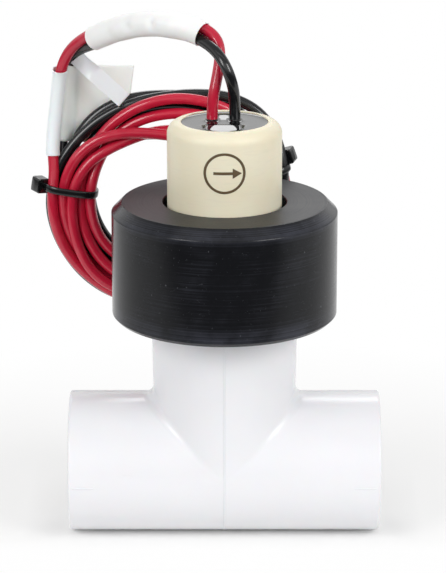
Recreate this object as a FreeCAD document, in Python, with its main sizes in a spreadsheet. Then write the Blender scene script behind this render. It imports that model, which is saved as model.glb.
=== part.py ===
import FreeCAD, Part
import math
import os
import Sketcher

# A one-inch PVC socket tee with an impeller flow sensor in its branch, in millimetres.
# The origin is where the run's axis meets the branch's axis: +X is the flow, +Z goes up the branch.
# Each entry is a size that can be set by itself.
SIZES = {
    # tee
    "run_length": 92.0,
    "run_od": 41.6,
    "socket_bore": 33.5,
    "socket_depth": 28.0,
    "waterway_bore": 26.6,
    "branch_height": 46.0,
    "branch_od": 43.0,
    "branch_root_od": 41.4,
    "crease_fillet": 3.0,
    "rim_round": 0.8,
    "socket_lead_in": 0.8,
    # threaded sleeve bonded in the branch
    "bond_line": 0.1,
    "spigot_gap": 0.5,
    "stem_play": 0.3,
    "head_height": 20.0,
    "thread_core_od": 49.4,
    "thread_depth": 1.3,
    "thread_pitch": 4.0,
    "thread_turns": 3.0,
    "thread_base": 2.3,
    "thread_crest": 1.3,
    "thread_play": 0.3,
    "thread_root_bite": 0.3,
    "thread_start": 4.0,
    # collar nut and slip washer
    "collar_od": 66.0,
    "collar_lip": 6.85,
    "collar_gap": 1.3,
    "collar_chamfer": 3.0,
    "collar_foot": 1.2,
    "collar_skirt_drop": 0.25,
    "collar_edge_round": 0.4,
    "seat_gap": 0.1,
    "washer_thickness": 1.2,
    "washer_play": 0.6,
    # sensor housing
    "flange_od": 46.0,
    "flange_thickness": 6.0,
    "body_od": 33.4,
    "body_height": 32.2,
    "body_wall": 4.1,
    "rim_fillet": 3.6,
    "lip_round": 0.25,
    "shelf_rise": 3.0,
    "stem_od": 25.4,
    "stem_wall": 3.2,
    "stem_end": 14.0,
    "stem_floor": 3.0,
    "groove_depth": 1.6,
    "groove_width": 2.4,
    "seal_drop": 6.0,
    "seal_spacing": 7.0,
    "ring_play": 0.05,
    "pin_od": 3.0,
    "pin_length": 8.0,
    "pin_bite": 4.0,
    "pin_circle": 41.0,
    "pin_play": 0.05,
    # flow mark cut into the housing and filled with paint
    "mark_od": 12.0,
    "mark_line": 0.5,
    "mark_drop": 11.4,
    "mark_depth": 0.3,
    "mark_recess": 0.08,
    "mark_play": 0.02,
    "arrow_length": 6.4,
    "arrow_line": 0.8,
    "arrow_head": 1.7,
    # impeller and its fork
    "cheek_gap": 14.0,
    "cheek_thickness": 3.0,
    "cheek_width": 10.0,
    "impeller_height": 4.0,
    "impeller_od": 17.6,
    "hub_od": 7.2,
    "hub_bite": 0.6,
    "blade_width": 11.6,
    "blade_thickness": 1.6,
    "blade_bend": 9.0,
    "target_od": 0.9,
    "target_circle": 14.6,
    "shaft_od": 2.0,
    "shaft_play": 0.04,
    "plug_length": 1.0,
    "bush_od": 4.4,
    "bush_length": 4.0,
    "bush_flange_od": 6.0,
    "bush_flange": 0.5,
    "end_play": 0.3,
    "press_line": 0.02,
    # pick-up coil and circuit board
    "bobbin_od": 15.0,
    "bobbin_height": 10.0,
    "bobbin_flange": 1.2,
    "bobbin_core_od": 7.0,
    "core_od": 4.8,
    "core_play": 0.1,
    "winding_od": 13.0,
    "bobbin_pin_od": 0.7,
    "bobbin_pin_length": 5.0,
    "bobbin_pin_bite": 1.0,
    "bobbin_pin_spacing": 5.0,
    "board_width": 13.0,
    "board_thickness": 1.6,
    "board_bite": 2.0,
    "lay_gap": 0.05,
    "chip_length": 5.0,
    "chip_width": 4.0,
    "chip_thickness": 1.6,
    "chip_height": 46.0,
    "regulator_length": 6.5,
    "regulator_width": 3.5,
    "regulator_thickness": 1.7,
    "regulator_height": 56.0,
    "capacitor_od": 5.0,
    "capacitor_length": 5.4,
    "capacitor_height": 66.0,
    "resistor_length": 2.0,
    "resistor_width": 1.25,
    "resistor_thickness": 0.55,
    "resistor_height": 38.0,
    "resistor_pitch": 3.0,
    # potting and the leads inside it
    "potting_recess": 0.6,
    "potting_depth": 15.0,
    "lead_od": 3.3,
    "copper_od": 1.02,
    "red_exit": 3.6,
    "black_exit": 3.0,
    "exit_row": 3.0,
    "inner_lead_length": 26.0,
    "solder_length": 3.0,
    # coil of the leads
    "coil_width": 73.7,
    "coil_height": 68.3,
    "coil_band": 14.4,
    "coil_depth": 8.2,
    "coil_round": 2.6,
    "coil_left": 17.25,
    "coil_back": 38.5,
    "coil_rise": 69.6,
    "tip_length": 10.0,
    "tip_bite": 1.5,
    # cable ties, sleeves and tags on the leads
    "tie_width": 2.2,
    "tie_thickness": 1.0,
    "tie_play": 0.15,
    "tie_head_length": 4.2,
    "tie_head_width": 4.6,
    "tie_head_height": 4.8,
    "left_tie_angle": 172.0,
    "right_tie_angle": 22.0,
    "sleeve_play": 0.05,
    "sleeve_wall": 0.25,
    "sleeve_start": 12.0,
    "sleeve_length": 41.5,
    "marker_play": 0.1,
    "marker_wall": 0.35,
    "marker_start": 87.4,
    "marker_length": 25.6,
    "flag_width": 19.8,
    "flag_drop": 25.0,
    "flag_start": 86.2,
    "strip_length": 18.0,
    "strip_start": 79.0,
    "strip_loop": 5.2,
    "tag_thickness": 0.3,
    "tag_play": 0.05,
}

# Sizes and levels that follow from the sizes above; heights are above the run's axis.
LEVELS = {
    "run_half": "run_length / 2",
    "run_radius": "run_od / 2",
    "socket_radius": "socket_bore / 2",
    "socket_mouth_radius": "socket_radius + socket_lead_in",
    "waterway_radius": "waterway_bore / 2",
    "socket_floor": "run_half - socket_depth",
    "branch_floor": "branch_height - socket_depth",
    "branch_radius": "branch_od / 2",
    "branch_root_radius": "branch_root_od / 2",
    "stem_radius": "stem_od / 2",
    "sleeve_bore_radius": "stem_radius + stem_play",
    "spigot_radius": "socket_radius - bond_line",
    "spigot_bottom": "branch_floor + spigot_gap",
    "head_top": "branch_height + head_height",
    "core_radius": "thread_core_od / 2",
    "tooth_root": "core_radius - thread_root_bite",
    "tooth_tip": "core_radius + thread_depth",
    "tooth_middle": "branch_height + thread_start",
    "tooth_root_top": "tooth_middle + thread_base / 2",
    "tooth_root_bottom": "tooth_middle - thread_base / 2",
    "tooth_tip_top": "tooth_middle + thread_crest / 2",
    "tooth_tip_bottom": "tooth_middle - thread_crest / 2",
    "thread_rise": "thread_pitch * thread_turns",
    "nut_bore_radius": "tooth_tip + thread_play",
    "nut_tooth_root": "nut_bore_radius + thread_root_bite",
    "nut_tooth_tip": "core_radius + thread_play",
    "nut_middle": "tooth_middle + thread_pitch / 2",
    "nut_root_top": "nut_middle + thread_base / 2",
    "nut_root_bottom": "nut_middle - thread_base / 2",
    "nut_tip_top": "nut_middle + thread_crest / 2",
    "nut_tip_bottom": "nut_middle - thread_crest / 2",
    "flange_radius": "flange_od / 2",
    "flange_top": "head_top + flange_thickness",
    "body_radius": "body_od / 2",
    "body_bore_radius": "body_radius - body_wall",
    "rim_top": "flange_top + body_height",
    "mark_height": "rim_top - mark_drop",
    "arrow_head_seat": "arrow_length / 2",
    "groove_skin": "body_radius - mark_depth",
    "groove_ring": "mark_od / 2",
    "groove_ring_bore": "groove_ring - mark_line",
    "groove_bar_length": "arrow_length",
    "groove_bar_height": "arrow_line",
    "groove_bar_start": "-arrow_length / 2",
    "groove_bar_bottom": "mark_height - arrow_line / 2",
    "groove_head": "arrow_head",
    "paint_surface": "body_radius - mark_recess",
    "paint_skin": "groove_skin + mark_play",
    "paint_ring": "groove_ring - mark_play",
    "paint_ring_bore": "groove_ring_bore + mark_play",
    "paint_bar_length": "arrow_length - 2 * mark_play",
    "paint_bar_height": "arrow_line - 2 * mark_play",
    "paint_bar_start": "groove_bar_start + mark_play",
    "paint_bar_bottom": "groove_bar_bottom + mark_play",
    "paint_head": "arrow_head - 2 * mark_play",
    "shelf_top": "head_top + shelf_rise",
    "stem_bore_radius": "stem_radius - stem_wall",
    "cavity_floor": "stem_end + stem_floor",
    "groove_radius": "stem_radius - groove_depth",
    "upper_seal": "branch_height - seal_drop",
    "lower_seal": "upper_seal - seal_spacing",
    "upper_groove_top": "upper_seal + groove_width / 2",
    "upper_groove_bottom": "upper_seal - groove_width / 2",
    "lower_groove_top": "lower_seal + groove_width / 2",
    "lower_groove_bottom": "lower_seal - groove_width / 2",
    "ring_middle": "(sleeve_bore_radius + groove_radius) / 2",
    "ring_section": "(sleeve_bore_radius - groove_radius) / 2 - ring_play",
    "washer_bottom": "flange_top + seat_gap",
    "washer_bore_radius": "body_radius + washer_play",
    "lip_bottom": "washer_bottom + washer_thickness + seat_gap",
    "collar_radius": "collar_od / 2",
    "collar_hole_radius": "body_radius + collar_gap",
    "collar_top": "lip_bottom + collar_lip",
    "collar_side_top": "collar_top - collar_chamfer",
    "collar_top_radius": "collar_radius - collar_chamfer",
    "collar_bottom": "branch_height - collar_skirt_drop",
    "collar_side_bottom": "collar_bottom + collar_foot",
    "collar_foot_radius": "collar_radius - collar_foot",
    "pin_row": "pin_circle / 2",
    "pin_radius": "pin_od / 2",
    "pin_hole_radius": "pin_radius + pin_play",
    "pin_bottom": "head_top - pin_bite",
    "cheek_half": "cheek_width / 2",
    "cheek_span": "cheek_gap + 2 * cheek_thickness",
    "shaft_radius": "shaft_od / 2",
    "shaft_hole_radius": "shaft_radius + press_line",
    "shaft_length": "cheek_span - 2 * plug_length",
    "shaft_half": "shaft_length / 2",
    "impeller_radius": "impeller_od / 2",
    "hub_radius": "hub_od / 2",
    "hub_length": "cheek_gap - 2 * (bush_flange + end_play)",
    "hub_half": "hub_length / 2",
    "bush_face": "hub_half + bush_flange",
    "blade_root": "hub_radius - hub_bite",
    "blade_outside": "blade_bend + blade_thickness / 2",
    "blade_inside": "blade_bend - blade_thickness / 2",
    "target_row": "target_circle / 2",
    "target_rise": "target_row ^ 2 / (2 * blade_bend)",
    "target_reach": "sqrt(target_row ^ 2 - target_rise ^ 2)",
    "target_radius": "target_od / 2",
    "target_hole_radius": "target_radius + press_line",
    "bush_radius": "bush_od / 2",
    "bush_hole_radius": "bush_radius + press_line",
    "bush_bore_radius": "shaft_radius + shaft_play",
    "bush_flange_radius": "bush_flange_od / 2",
    "bobbin_radius": "bobbin_od / 2",
    "bobbin_core_radius": "bobbin_core_od / 2",
    "bobbin_bore_radius": "core_radius_ferrite + core_play",
    "core_radius_ferrite": "core_od / 2",
    "winding_radius": "winding_od / 2",
    "winding_bore_radius": "bobbin_core_radius + core_play",
    "winding_bottom": "cavity_floor + bobbin_flange + core_play",
    "winding_height": "bobbin_height - 2 * bobbin_flange - 2 * core_play",
    "spool_bottom": "cavity_floor + bobbin_flange",
    "spool_top": "cavity_floor + bobbin_height - bobbin_flange",
    "bobbin_top": "cavity_floor + bobbin_height",
    "lead_radius": "lead_od / 2",
    "copper_radius": "copper_od / 2",
    "board_front": "exit_row + lead_radius + lay_gap",
    "board_half": "board_width / 2",
    "potting_top": "rim_top - potting_recess",
    "potting_bottom": "potting_top - potting_depth",
    "potting_radius": "body_bore_radius - bond_line",
    "board_top": "potting_bottom + board_bite",
    "board_length": "board_top - bobbin_top",
    "board_slot_front": "board_front - lay_gap",
    "board_slot_half": "board_half + lay_gap",
    "board_slot_width": "board_width + 2 * lay_gap",
    "board_slot_thickness": "board_thickness + 2 * lay_gap",
    "board_slot_depth": "board_bite + lay_gap",
    "lead_hole_radius": "lead_radius + lay_gap",
    "inner_lead_bottom": "potting_top - inner_lead_length",
    "solder_radius": "board_front - exit_row - lay_gap",
    "solder_bottom": "inner_lead_bottom - solder_length",
    "bobbin_pin_radius": "bobbin_pin_od / 2",
    "bobbin_pin_row": "board_front - bobbin_pin_radius - lay_gap",
    "bobbin_pin_half": "bobbin_pin_spacing / 2",
    "bobbin_pin_bottom": "bobbin_top - bobbin_pin_bite",
    "bobbin_pin_hole_radius": "bobbin_pin_radius + press_line",
    "chip_half": "chip_length / 2",
    "chip_front": "board_front - chip_thickness",
    "regulator_half": "regulator_length / 2",
    "regulator_front": "board_front - regulator_thickness",
    "capacitor_radius": "capacitor_od / 2",
    "resistor_front": "board_front - resistor_thickness",
    "coil_outer_half_width": "coil_width / 2",
    "coil_outer_half_height": "coil_height / 2",
    "coil_inner_half_width": "coil_width / 2 - coil_band",
    "coil_inner_half_height": "coil_height / 2 - coil_band",
    "coil_rear": "coil_back + coil_depth / 2",
    "tie_inner_width": "coil_band + 2 * tie_play",
    "tie_inner_depth": "coil_depth + 2 * tie_play",
    "tie_outer_width": "tie_inner_width + 2 * tie_thickness",
    "tie_outer_depth": "tie_inner_depth + 2 * tie_thickness",
    "tie_outer_round": "coil_round + tie_thickness",
}

# The leads' routes from the potting to the coil, chosen point by point.
RED_ROUTE = [
    (-3.6, 3.0, 103.6), (-3.6, 3.0, 109.2), (-2.2, 3.8, 115.8), (-1.1, 7.0, 121.9),
    (-2.2, 9.7, 126.8), (-7.3, 10.9, 130.05), (-14.2, 13.6, 131.0), (-22.4, 18.6, 130.6),
    (-31.4, 25.5, 127.8), (-39.1, 31.8, 123.4), (-45.8, 36.3, 118.1), (-49.3, 39.0, 110.9),
    (-50.4, 40.3, 102.3), (-51.5, 40.5, 93.2), (-52.2, 39.6, 85.3), (-51.6, 38.2, 78.7),
]
BLACK_ROUTE = [
    (3.0, 3.0, 103.6), (3.0, 3.0, 108.2), (2.6, 0.6, 114.1), (0.3, -0.4, 120.8),
    (-3.0, 4.6, 124.5), (-8.3, 10.7, 126.55), (-14.2, 13.4, 127.65), (-22.0, 18.4, 127.3),
    (-30.5, 25.0, 124.6), (-38.0, 31.3, 120.2), (-44.0, 39.3, 114.6), (-47.3, 43.2, 107.7),
    (-48.6, 44.4, 99.5), (-49.2, 44.2, 91.2), (-49.4, 43.0, 84.1), (-48.8, 41.0, 78.4),
]
SLEEVED_POINTS = slice(3, 11)
ROUTE_ROUNDING = 0.45
TIP_ANGLES = {"red": -46.0, "black": -72.0}
BLADES = 6
RESISTORS = 3
ARROW_SIDES = 3
TAG_SAMPLES = 40
# Lengths below this count as nought.
TOUCH = 1e-6

X_AXIS = FreeCAD.Vector(1, 0, 0)
Y_AXIS = FreeCAD.Vector(0, 1, 0)
Z_AXIS = FreeCAD.Vector(0, 0, 1)
ALONG_X = FreeCAD.Rotation(Y_AXIS, 90)
ALONG_MINUS_X = FreeCAD.Rotation(Y_AXIS, -90)
ALONG_Y = FreeCAD.Rotation(X_AXIS, -90)
UPRIGHT = FreeCAD.Rotation(X_AXIS, 90)
UNTURNED = FreeCAD.Rotation()
# The ways in which the two tags stand off from the black lead.
FLAG_TOWARD = FreeCAD.Vector(1, 0.06, 0)
STRIP_TOWARD = FreeCAD.Vector(0.68, 0.05, -0.73)

doc = FreeCAD.newDocument("TeeFlowSensor")
sheet = doc.addObject("Spreadsheet::Sheet", "Sizes")
pieces = []


def fill_sheet():
    cells = {name: str(number) for name, number in SIZES.items()}
    cells.update({name: "=" + formula for name, formula in LEVELS.items()})
    for row, name in enumerate(cells, start=1):
        sheet.set(f"A{row}", name)
        sheet.setAlias(f"B{row}", name)
    for row, text in enumerate(cells.values(), start=1):
        sheet.set(f"B{row}", text)
    doc.recompute()


def cell(name):
    """The expression for a cell; a name with a minus sign in front stands for its negative."""
    if name.startswith("-"):
        return "-Sizes." + name[1:]
    return "Sizes." + name


def number(name):
    """The cell's value now, with the same sign rule; no name stands for nought."""
    if name is None:
        return 0.0
    if name.startswith("-"):
        return -float(sheet.get(name[1:]))
    return float(sheet.get(name))


def bind(thing, **names):
    for prop, name in names.items():
        thing.setExpression(prop, cell(name))
    return thing


def place(thing, x=None, y=None, z=None, turn=UNTURNED):
    """Put a thing at named places along X, Y and Z."""
    thing.Placement = FreeCAD.Placement(FreeCAD.Vector(number(x), number(y), number(z)), turn)
    for axis, name in (("x", x), ("y", y), ("z", z)):
        if name is not None:
            thing.setExpression("Placement.Base." + axis, cell(name))
    return thing


def keep(thing, label):
    """Mark a thing as a finished piece; the label names its file."""
    thing.Label = label
    pieces.append(thing)
    return thing


# Part primitives and booleans

def cylinder(name, radius, length, turn=UNTURNED, x=None, y=None, z=None):
    thing = bind(doc.addObject("Part::Cylinder", name), Radius=radius, Height=length)
    return place(thing, x, y, z, turn)


def block(name, length, width, height, x=None, y=None, z=None):
    thing = bind(doc.addObject("Part::Box", name), Length=length, Width=width, Height=height)
    return place(thing, x, y, z)


def cut(name, base, tool):
    thing = doc.addObject("Part::Cut", name)
    thing.Base = base
    thing.Tool = tool
    return thing


def fuse(name, *shapes):
    thing = doc.addObject("Part::MultiFuse", name)
    thing.Shapes = list(shapes)
    return thing


def group(name, *shapes):
    thing = doc.addObject("Part::Compound", name)
    thing.Links = list(shapes)
    return thing


def rounded(name, base, radius, wanted):
    """Fillet the edges of a base that the wanted test picks."""
    doc.recompute()
    thing = doc.addObject("Part::Fillet", name)
    thing.Base = base
    size = number(radius)
    thing.Edges = [(index, size, size) for index, edge in enumerate(base.Shape.Edges, start=1)
                   if wanted(edge)]
    return thing


# PartDesign bodies

def new_body(name):
    return doc.addObject("PartDesign::Body", name)


def origin_part(body, role):
    return next(part for part in body.Origin.OriginFeatures if part.Role == role)


def new_sketch(body, name, role="XZ_Plane"):
    sketch = body.newObject("Sketcher::SketchObject", name)
    sketch.AttachmentSupport = [(origin_part(body, role), "")]
    sketch.MapMode = "FlatFace"
    return sketch


def tie_point(sketch, geometry, point, x, y):
    """Hold a sketch point at named distances from the sketch's origin."""
    for kind, name, axis in (("DistanceX", x, -2), ("DistanceY", y, -1)):
        if name is None:
            sketch.addConstraint(Sketcher.Constraint("PointOnObject", geometry, point, axis))
            continue
        value = number(name)
        ends = (-1, 1, geometry, point)
        if name.startswith("-"):
            ends = (geometry, point, -1, 1)
        index = sketch.addConstraint(Sketcher.Constraint(kind, *ends, abs(value)))
        title = f"{kind}{geometry}_{point}"
        sketch.renameConstraint(index, title)
        sketch.setExpression("Constraints." + title, cell(name.lstrip("-")))


def tie_radius(sketch, geometry, name):
    index = sketch.addConstraint(Sketcher.Constraint("Radius", geometry, number(name)))
    title = f"Radius{geometry}"
    sketch.renameConstraint(index, title)
    sketch.setExpression("Constraints." + title, cell(name))


def outline(sketch, corners):
    """Close straight edges through corners given as pairs of cell names."""
    spots = [FreeCAD.Vector(number(x), number(y), 0) for x, y in corners]
    count = len(spots)
    for here in range(count):
        sketch.addGeometry(Part.LineSegment(spots[here], spots[(here + 1) % count]))
    for here in range(count):
        sketch.addConstraint(Sketcher.Constraint("Coincident", here, 2, (here + 1) % count, 1))
    for here, (x, y) in enumerate(corners):
        tie_point(sketch, here, 1, x, y)


def ring(sketch, radius, x=None, y=None, construction=False):
    """A circle whose centre lies at named distances from the sketch's origin."""
    middle = FreeCAD.Vector(number(x), number(y), 0)
    index = sketch.addGeometry(Part.Circle(middle, Z_AXIS, number(radius)), construction)
    tie_point(sketch, index, 3, x, y)
    tie_radius(sketch, index, radius)
    return index


def revolve(body, name, corners):
    """Turn an outline of radius and height about the body's Z axis."""
    sketch = new_sketch(body, name + "Outline")
    outline(sketch, corners)
    feature = body.newObject("PartDesign::Revolution", name)
    feature.Profile = sketch
    feature.ReferenceAxis = (sketch, ["V_Axis"])
    feature.Angle = 360
    doc.recompute()
    return feature


def both_ways(body, kind, name, sketch, length):
    """A pad or pocket that goes the same way to each side of its sketch."""
    feature = body.newObject("PartDesign::" + kind, name)
    feature.Profile = sketch
    feature.SideType = "Symmetric"
    feature.setExpression("Length", cell(length))
    doc.recompute()
    return feature


def screw_thread(body, name, corners):
    """A right-handed thread rib about the body's Z axis."""
    sketch = new_sketch(body, name + "Tooth")
    outline(sketch, corners)
    feature = body.newObject("PartDesign::AdditiveHelix", name)
    feature.Profile = sketch
    feature.ReferenceAxis = (sketch, ["V_Axis"])
    feature.Mode = "pitch-height-angle"
    bind(feature, Pitch="thread_pitch", Height="thread_rise")
    doc.recompute()
    return feature


# Tee, threaded sleeve and collar

def make_tee():
    run = cylinder("Run", "run_radius", "run_length", ALONG_X, x="-run_half")
    branch = bind(doc.addObject("Part::Cone", "Branch"), Radius1="branch_root_radius",
                  Radius2="branch_radius", Height="branch_height")
    blank = fuse("TeeBlank", run, branch)
    blank.Refine = True
    smooth = rounded("TeeCrease", blank, "crease_fillet", is_crease)
    rims = rounded("TeeRims", smooth, "rim_round", is_rim)
    inlet = cylinder("InletSocket", "socket_radius", "socket_depth", ALONG_X, x="-run_half")
    outlet = cylinder("OutletSocket", "socket_radius", "socket_depth", ALONG_X, x="socket_floor")
    waterway = cylinder("Waterway", "waterway_radius", "run_length", ALONG_X, x="-run_half")
    mouths = [lead_in("InletMouth", ALONG_X, "-run_half"),
              lead_in("OutletMouth", ALONG_MINUS_X, "run_half")]
    socket = cylinder("BranchSocket", "socket_radius", "socket_depth", z="branch_floor")
    throat = cylinder("BranchThroat", "waterway_radius", "branch_height")
    bores = fuse("TeeBores", inlet, outlet, waterway, *mouths, socket, throat)
    keep(cut("Tee", rims, bores), "tee_body")


def lead_in(name, turn, x):
    """The bevel that guides a pipe into a mouth of the run."""
    cone = bind(doc.addObject("Part::Cone", name), Radius1="socket_mouth_radius",
                Radius2="socket_radius", Height="socket_lead_in")
    return place(cone, x=x, turn=turn)


def is_crease(edge):
    """The two curves where the branch runs into the run."""
    return edge.Curve.TypeId == "Part::GeomBSplineCurve"


def is_rim(edge):
    """The outer edge of each of the three mouths."""
    box = edge.BoundBox
    at_end = box.XLength < TOUCH and abs(abs(box.XMin) - number("run_half")) < TOUCH
    at_top = box.ZLength < TOUCH and abs(box.ZMin - number("branch_height")) < TOUCH
    return edge.Curve.TypeId == "Part::GeomCircle" and (at_end or at_top)


def make_branch_sleeve():
    body = new_body("BranchSleeve")
    revolve(body, "SleeveBlank", [
        ("sleeve_bore_radius", "spigot_bottom"), ("spigot_radius", "spigot_bottom"),
        ("spigot_radius", "branch_height"), ("core_radius", "branch_height"),
        ("core_radius", "head_top"), ("sleeve_bore_radius", "head_top")])
    screw_thread(body, "SleeveThread", [
        ("tooth_root", "tooth_root_bottom"), ("tooth_tip", "tooth_tip_bottom"),
        ("tooth_tip", "tooth_tip_top"), ("tooth_root", "tooth_root_top")])
    drill_pin_hole(body, "SleevePinHole", "pin_bottom")
    keep(body, "branch_sleeve")


def drill_pin_hole(body, name, bottom):
    """The blind hole of the alignment pin, from its bottom level up."""
    sketch = new_sketch(body, name + "Circle", "XY_Plane")
    sketch.setExpression("AttachmentOffset.Base.z", cell(bottom))
    ring(sketch, "pin_hole_radius", x="pin_row")
    pocket = body.newObject("PartDesign::Pocket", name)
    pocket.Profile = sketch
    pocket.Reversed = True
    bind(pocket, Length="pin_length")
    doc.recompute()


def make_alignment_pin():
    pin = cylinder("AlignmentPin", "pin_radius", "pin_length", x="pin_row", z="pin_bottom")
    keep(pin, "alignment_pin")


def make_collar():
    body = new_body("CollarNut")
    revolve(body, "CollarBlank", [
        ("nut_bore_radius", "collar_bottom"), ("collar_foot_radius", "collar_bottom"),
        ("collar_radius", "collar_side_bottom"), ("collar_radius", "collar_side_top"),
        ("collar_top_radius", "collar_top"), ("collar_hole_radius", "collar_top"),
        ("collar_hole_radius", "lip_bottom"), ("nut_bore_radius", "lip_bottom")])
    round_circles(body, "CollarEdges", "collar_edge_round", [
        ("collar_foot_radius", "collar_bottom"), ("collar_radius", "collar_side_bottom"),
        ("collar_radius", "collar_side_top"), ("collar_top_radius", "collar_top"),
        ("collar_hole_radius", "collar_top")])
    screw_thread(body, "CollarThread", [
        ("nut_tooth_root", "nut_root_bottom"), ("nut_tooth_root", "nut_root_top"),
        ("nut_tooth_tip", "nut_tip_top"), ("nut_tooth_tip", "nut_tip_bottom")])
    keep(body, "collar_nut")


def make_slip_washer():
    disc = cylinder("WasherDisc", "flange_radius", "washer_thickness", z="washer_bottom")
    hole = cylinder("WasherHole", "washer_bore_radius", "washer_thickness", z="washer_bottom")
    keep(cut("SlipWasher", disc, hole), "slip_washer")


# Sensor housing and its seals

def make_housing():
    body = new_body("SensorHousing")
    revolve(body, "HousingBlank", [
        (None, "stem_end"), ("stem_radius", "stem_end"),
        ("stem_radius", "lower_groove_bottom"), ("groove_radius", "lower_groove_bottom"),
        ("groove_radius", "lower_groove_top"), ("stem_radius", "lower_groove_top"),
        ("stem_radius", "upper_groove_bottom"), ("groove_radius", "upper_groove_bottom"),
        ("groove_radius", "upper_groove_top"), ("stem_radius", "upper_groove_top"),
        ("stem_radius", "head_top"), ("flange_radius", "head_top"),
        ("flange_radius", "flange_top"), ("body_radius", "flange_top"),
        ("body_radius", "rim_top"), ("body_bore_radius", "rim_top"),
        ("body_bore_radius", "shelf_top"), ("stem_bore_radius", "shelf_top"),
        ("stem_bore_radius", "cavity_floor"), (None, "cavity_floor")])
    round_circles(body, "RimRound", "rim_fillet", [("body_radius", "rim_top")])
    round_circles(body, "LipRound", "lip_round", [("body_bore_radius", "rim_top")])
    fork = new_sketch(body, "ForkOutline")
    cheek_outline(fork)
    both_ways(body, "Pad", "Fork", fork, "cheek_span")
    slot = new_sketch(body, "ForkSlotOutline")
    outline(slot, [("-stem_radius", "-stem_radius"), ("stem_radius", "-stem_radius"),
                   ("stem_radius", "stem_end"), ("-stem_radius", "stem_end")])
    both_ways(body, "Pocket", "ForkSlot", slot, "cheek_gap")
    bore = new_sketch(body, "ShaftHoleCircle")
    ring(bore, "shaft_hole_radius", y="impeller_height")
    both_ways(body, "Pocket", "ShaftHole", bore, "stem_od")
    drill_pin_hole(body, "FlangePinHole", "pin_bottom")
    keep(cut("Housing", body, mark("groove", "body_radius")), "sensor_housing")
    keep(mark("paint", "paint_surface"), "flow_mark")


def mark(kind, surface):
    """The skin of the housing's front within a ring and an arrow that points with the flow."""
    title = kind.title()
    skin = cut(title + "Skin", cylinder(title + "Outside", surface, "body_height", z="flange_top"),
               cylinder(title + "Inside", kind + "_skin", "body_height", z="flange_top"))
    ring_outer = cylinder(title + "RingOuter", kind + "_ring", "flange_radius", ALONG_Y,
                          y="-flange_radius", z="mark_height")
    ring_inner = cylinder(title + "RingInner", kind + "_ring_bore", "flange_radius", ALONG_Y,
                          y="-flange_radius", z="mark_height")
    bar = block(title + "Bar", kind + "_bar_length", "flange_radius", kind + "_bar_height",
                x=kind + "_bar_start", y="-flange_radius", z=kind + "_bar_bottom")
    head = bind(doc.addObject("Part::Prism", title + "Head"), Circumradius=kind + "_head",
                Height="flange_radius")
    head.Polygon = ARROW_SIDES
    place(head, x="arrow_head_seat", y="-flange_radius", z="mark_height", turn=ALONG_Y)
    arrow = fuse(title + "Arrow", bar, head)
    shape = fuse(title + "Shape", cut(title + "Ring", ring_outer, ring_inner), arrow)
    common = doc.addObject("Part::Common", title + "Mark")
    common.Base = skin
    common.Tool = shape
    return common


def round_circles(body, name, size, circles):
    """Fillet a body's circular edges, each given by the names of its radius and its height."""
    wanted = [(number(radius), number(height)) for radius, height in circles]
    edges = [f"Edge{index}" for index, edge in enumerate(body.Shape.Edges, start=1)
             if edge.Curve.TypeId == "Part::GeomCircle" and edge.BoundBox.ZLength < TOUCH
             and any(abs(edge.Curve.Radius - radius) < TOUCH and abs(edge.BoundBox.ZMin - height) < TOUCH
                     for radius, height in wanted)]
    base = body.Tip
    feature = body.newObject("PartDesign::Fillet", name)
    feature.Base = (base, edges)
    bind(feature, Radius=size)
    doc.recompute()


def cheek_outline(sketch):
    """A cheek with a round foot about the shaft; its top runs into the stem."""
    half = number("cheek_half")
    low = number("impeller_height")
    top = number("cavity_floor")
    foot = Part.Circle(FreeCAD.Vector(0, low, 0), Z_AXIS, half)
    sketch.addGeometry(Part.ArcOfCircle(foot, math.pi, 2 * math.pi))
    corners = [(half, low), (half, top), (-half, top), (-half, low)]
    for start, end in zip(corners, corners[1:]):
        sketch.addGeometry(Part.LineSegment(FreeCAD.Vector(*start, 0), FreeCAD.Vector(*end, 0)))
    for one, other in ((0, 1), (1, 2), (2, 3), (3, 0)):
        sketch.addConstraint(Sketcher.Constraint("Coincident", one, 2, other, 1))
    sketch.addConstraint(Sketcher.Constraint("Horizontal", 0, 1, 0, 3))
    tie_point(sketch, 0, 3, None, "impeller_height")
    tie_point(sketch, 0, 2, "cheek_half", "impeller_height")
    tie_point(sketch, 1, 2, "cheek_half", "cavity_floor")
    tie_point(sketch, 2, 2, "-cheek_half", "cavity_floor")


def make_seals():
    for place_name in ("upper", "lower"):
        seal = bind(doc.addObject("Part::Torus", place_name.title() + "Seal"),
                    Radius1="ring_middle", Radius2="ring_section")
        place(seal, z=place_name + "_seal")
        keep(seal, f"stem_o_ring_{place_name}")


# Impeller train

def make_impeller():
    body = new_body("Impeller")
    hub = new_sketch(body, "HubCircle")
    ring(hub, "hub_radius")
    both_ways(body, "Pad", "Hub", hub, "hub_length")
    blade = new_sketch(body, "BladeOutline")
    blade_outline(blade)
    first = both_ways(body, "Pad", "Blade", blade, "blade_width")
    around = body.newObject("PartDesign::PolarPattern", "Blades")
    around.Originals = [first]
    around.Axis = (hub, ["N_Axis"])
    around.Angle = 360
    around.Occurrences = BLADES
    body.Tip = around
    doc.recompute()
    holes = new_sketch(body, "BoreCircles")
    ring(holes, "bush_hole_radius")
    ring(holes, "target_hole_radius", "target_reach", "target_rise")
    ring(holes, "target_hole_radius", "-target_reach", "-target_rise")
    both_ways(body, "Pocket", "Bores", holes, "cheek_gap")
    place(body, z="impeller_height")
    keep(body, "impeller")


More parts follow.
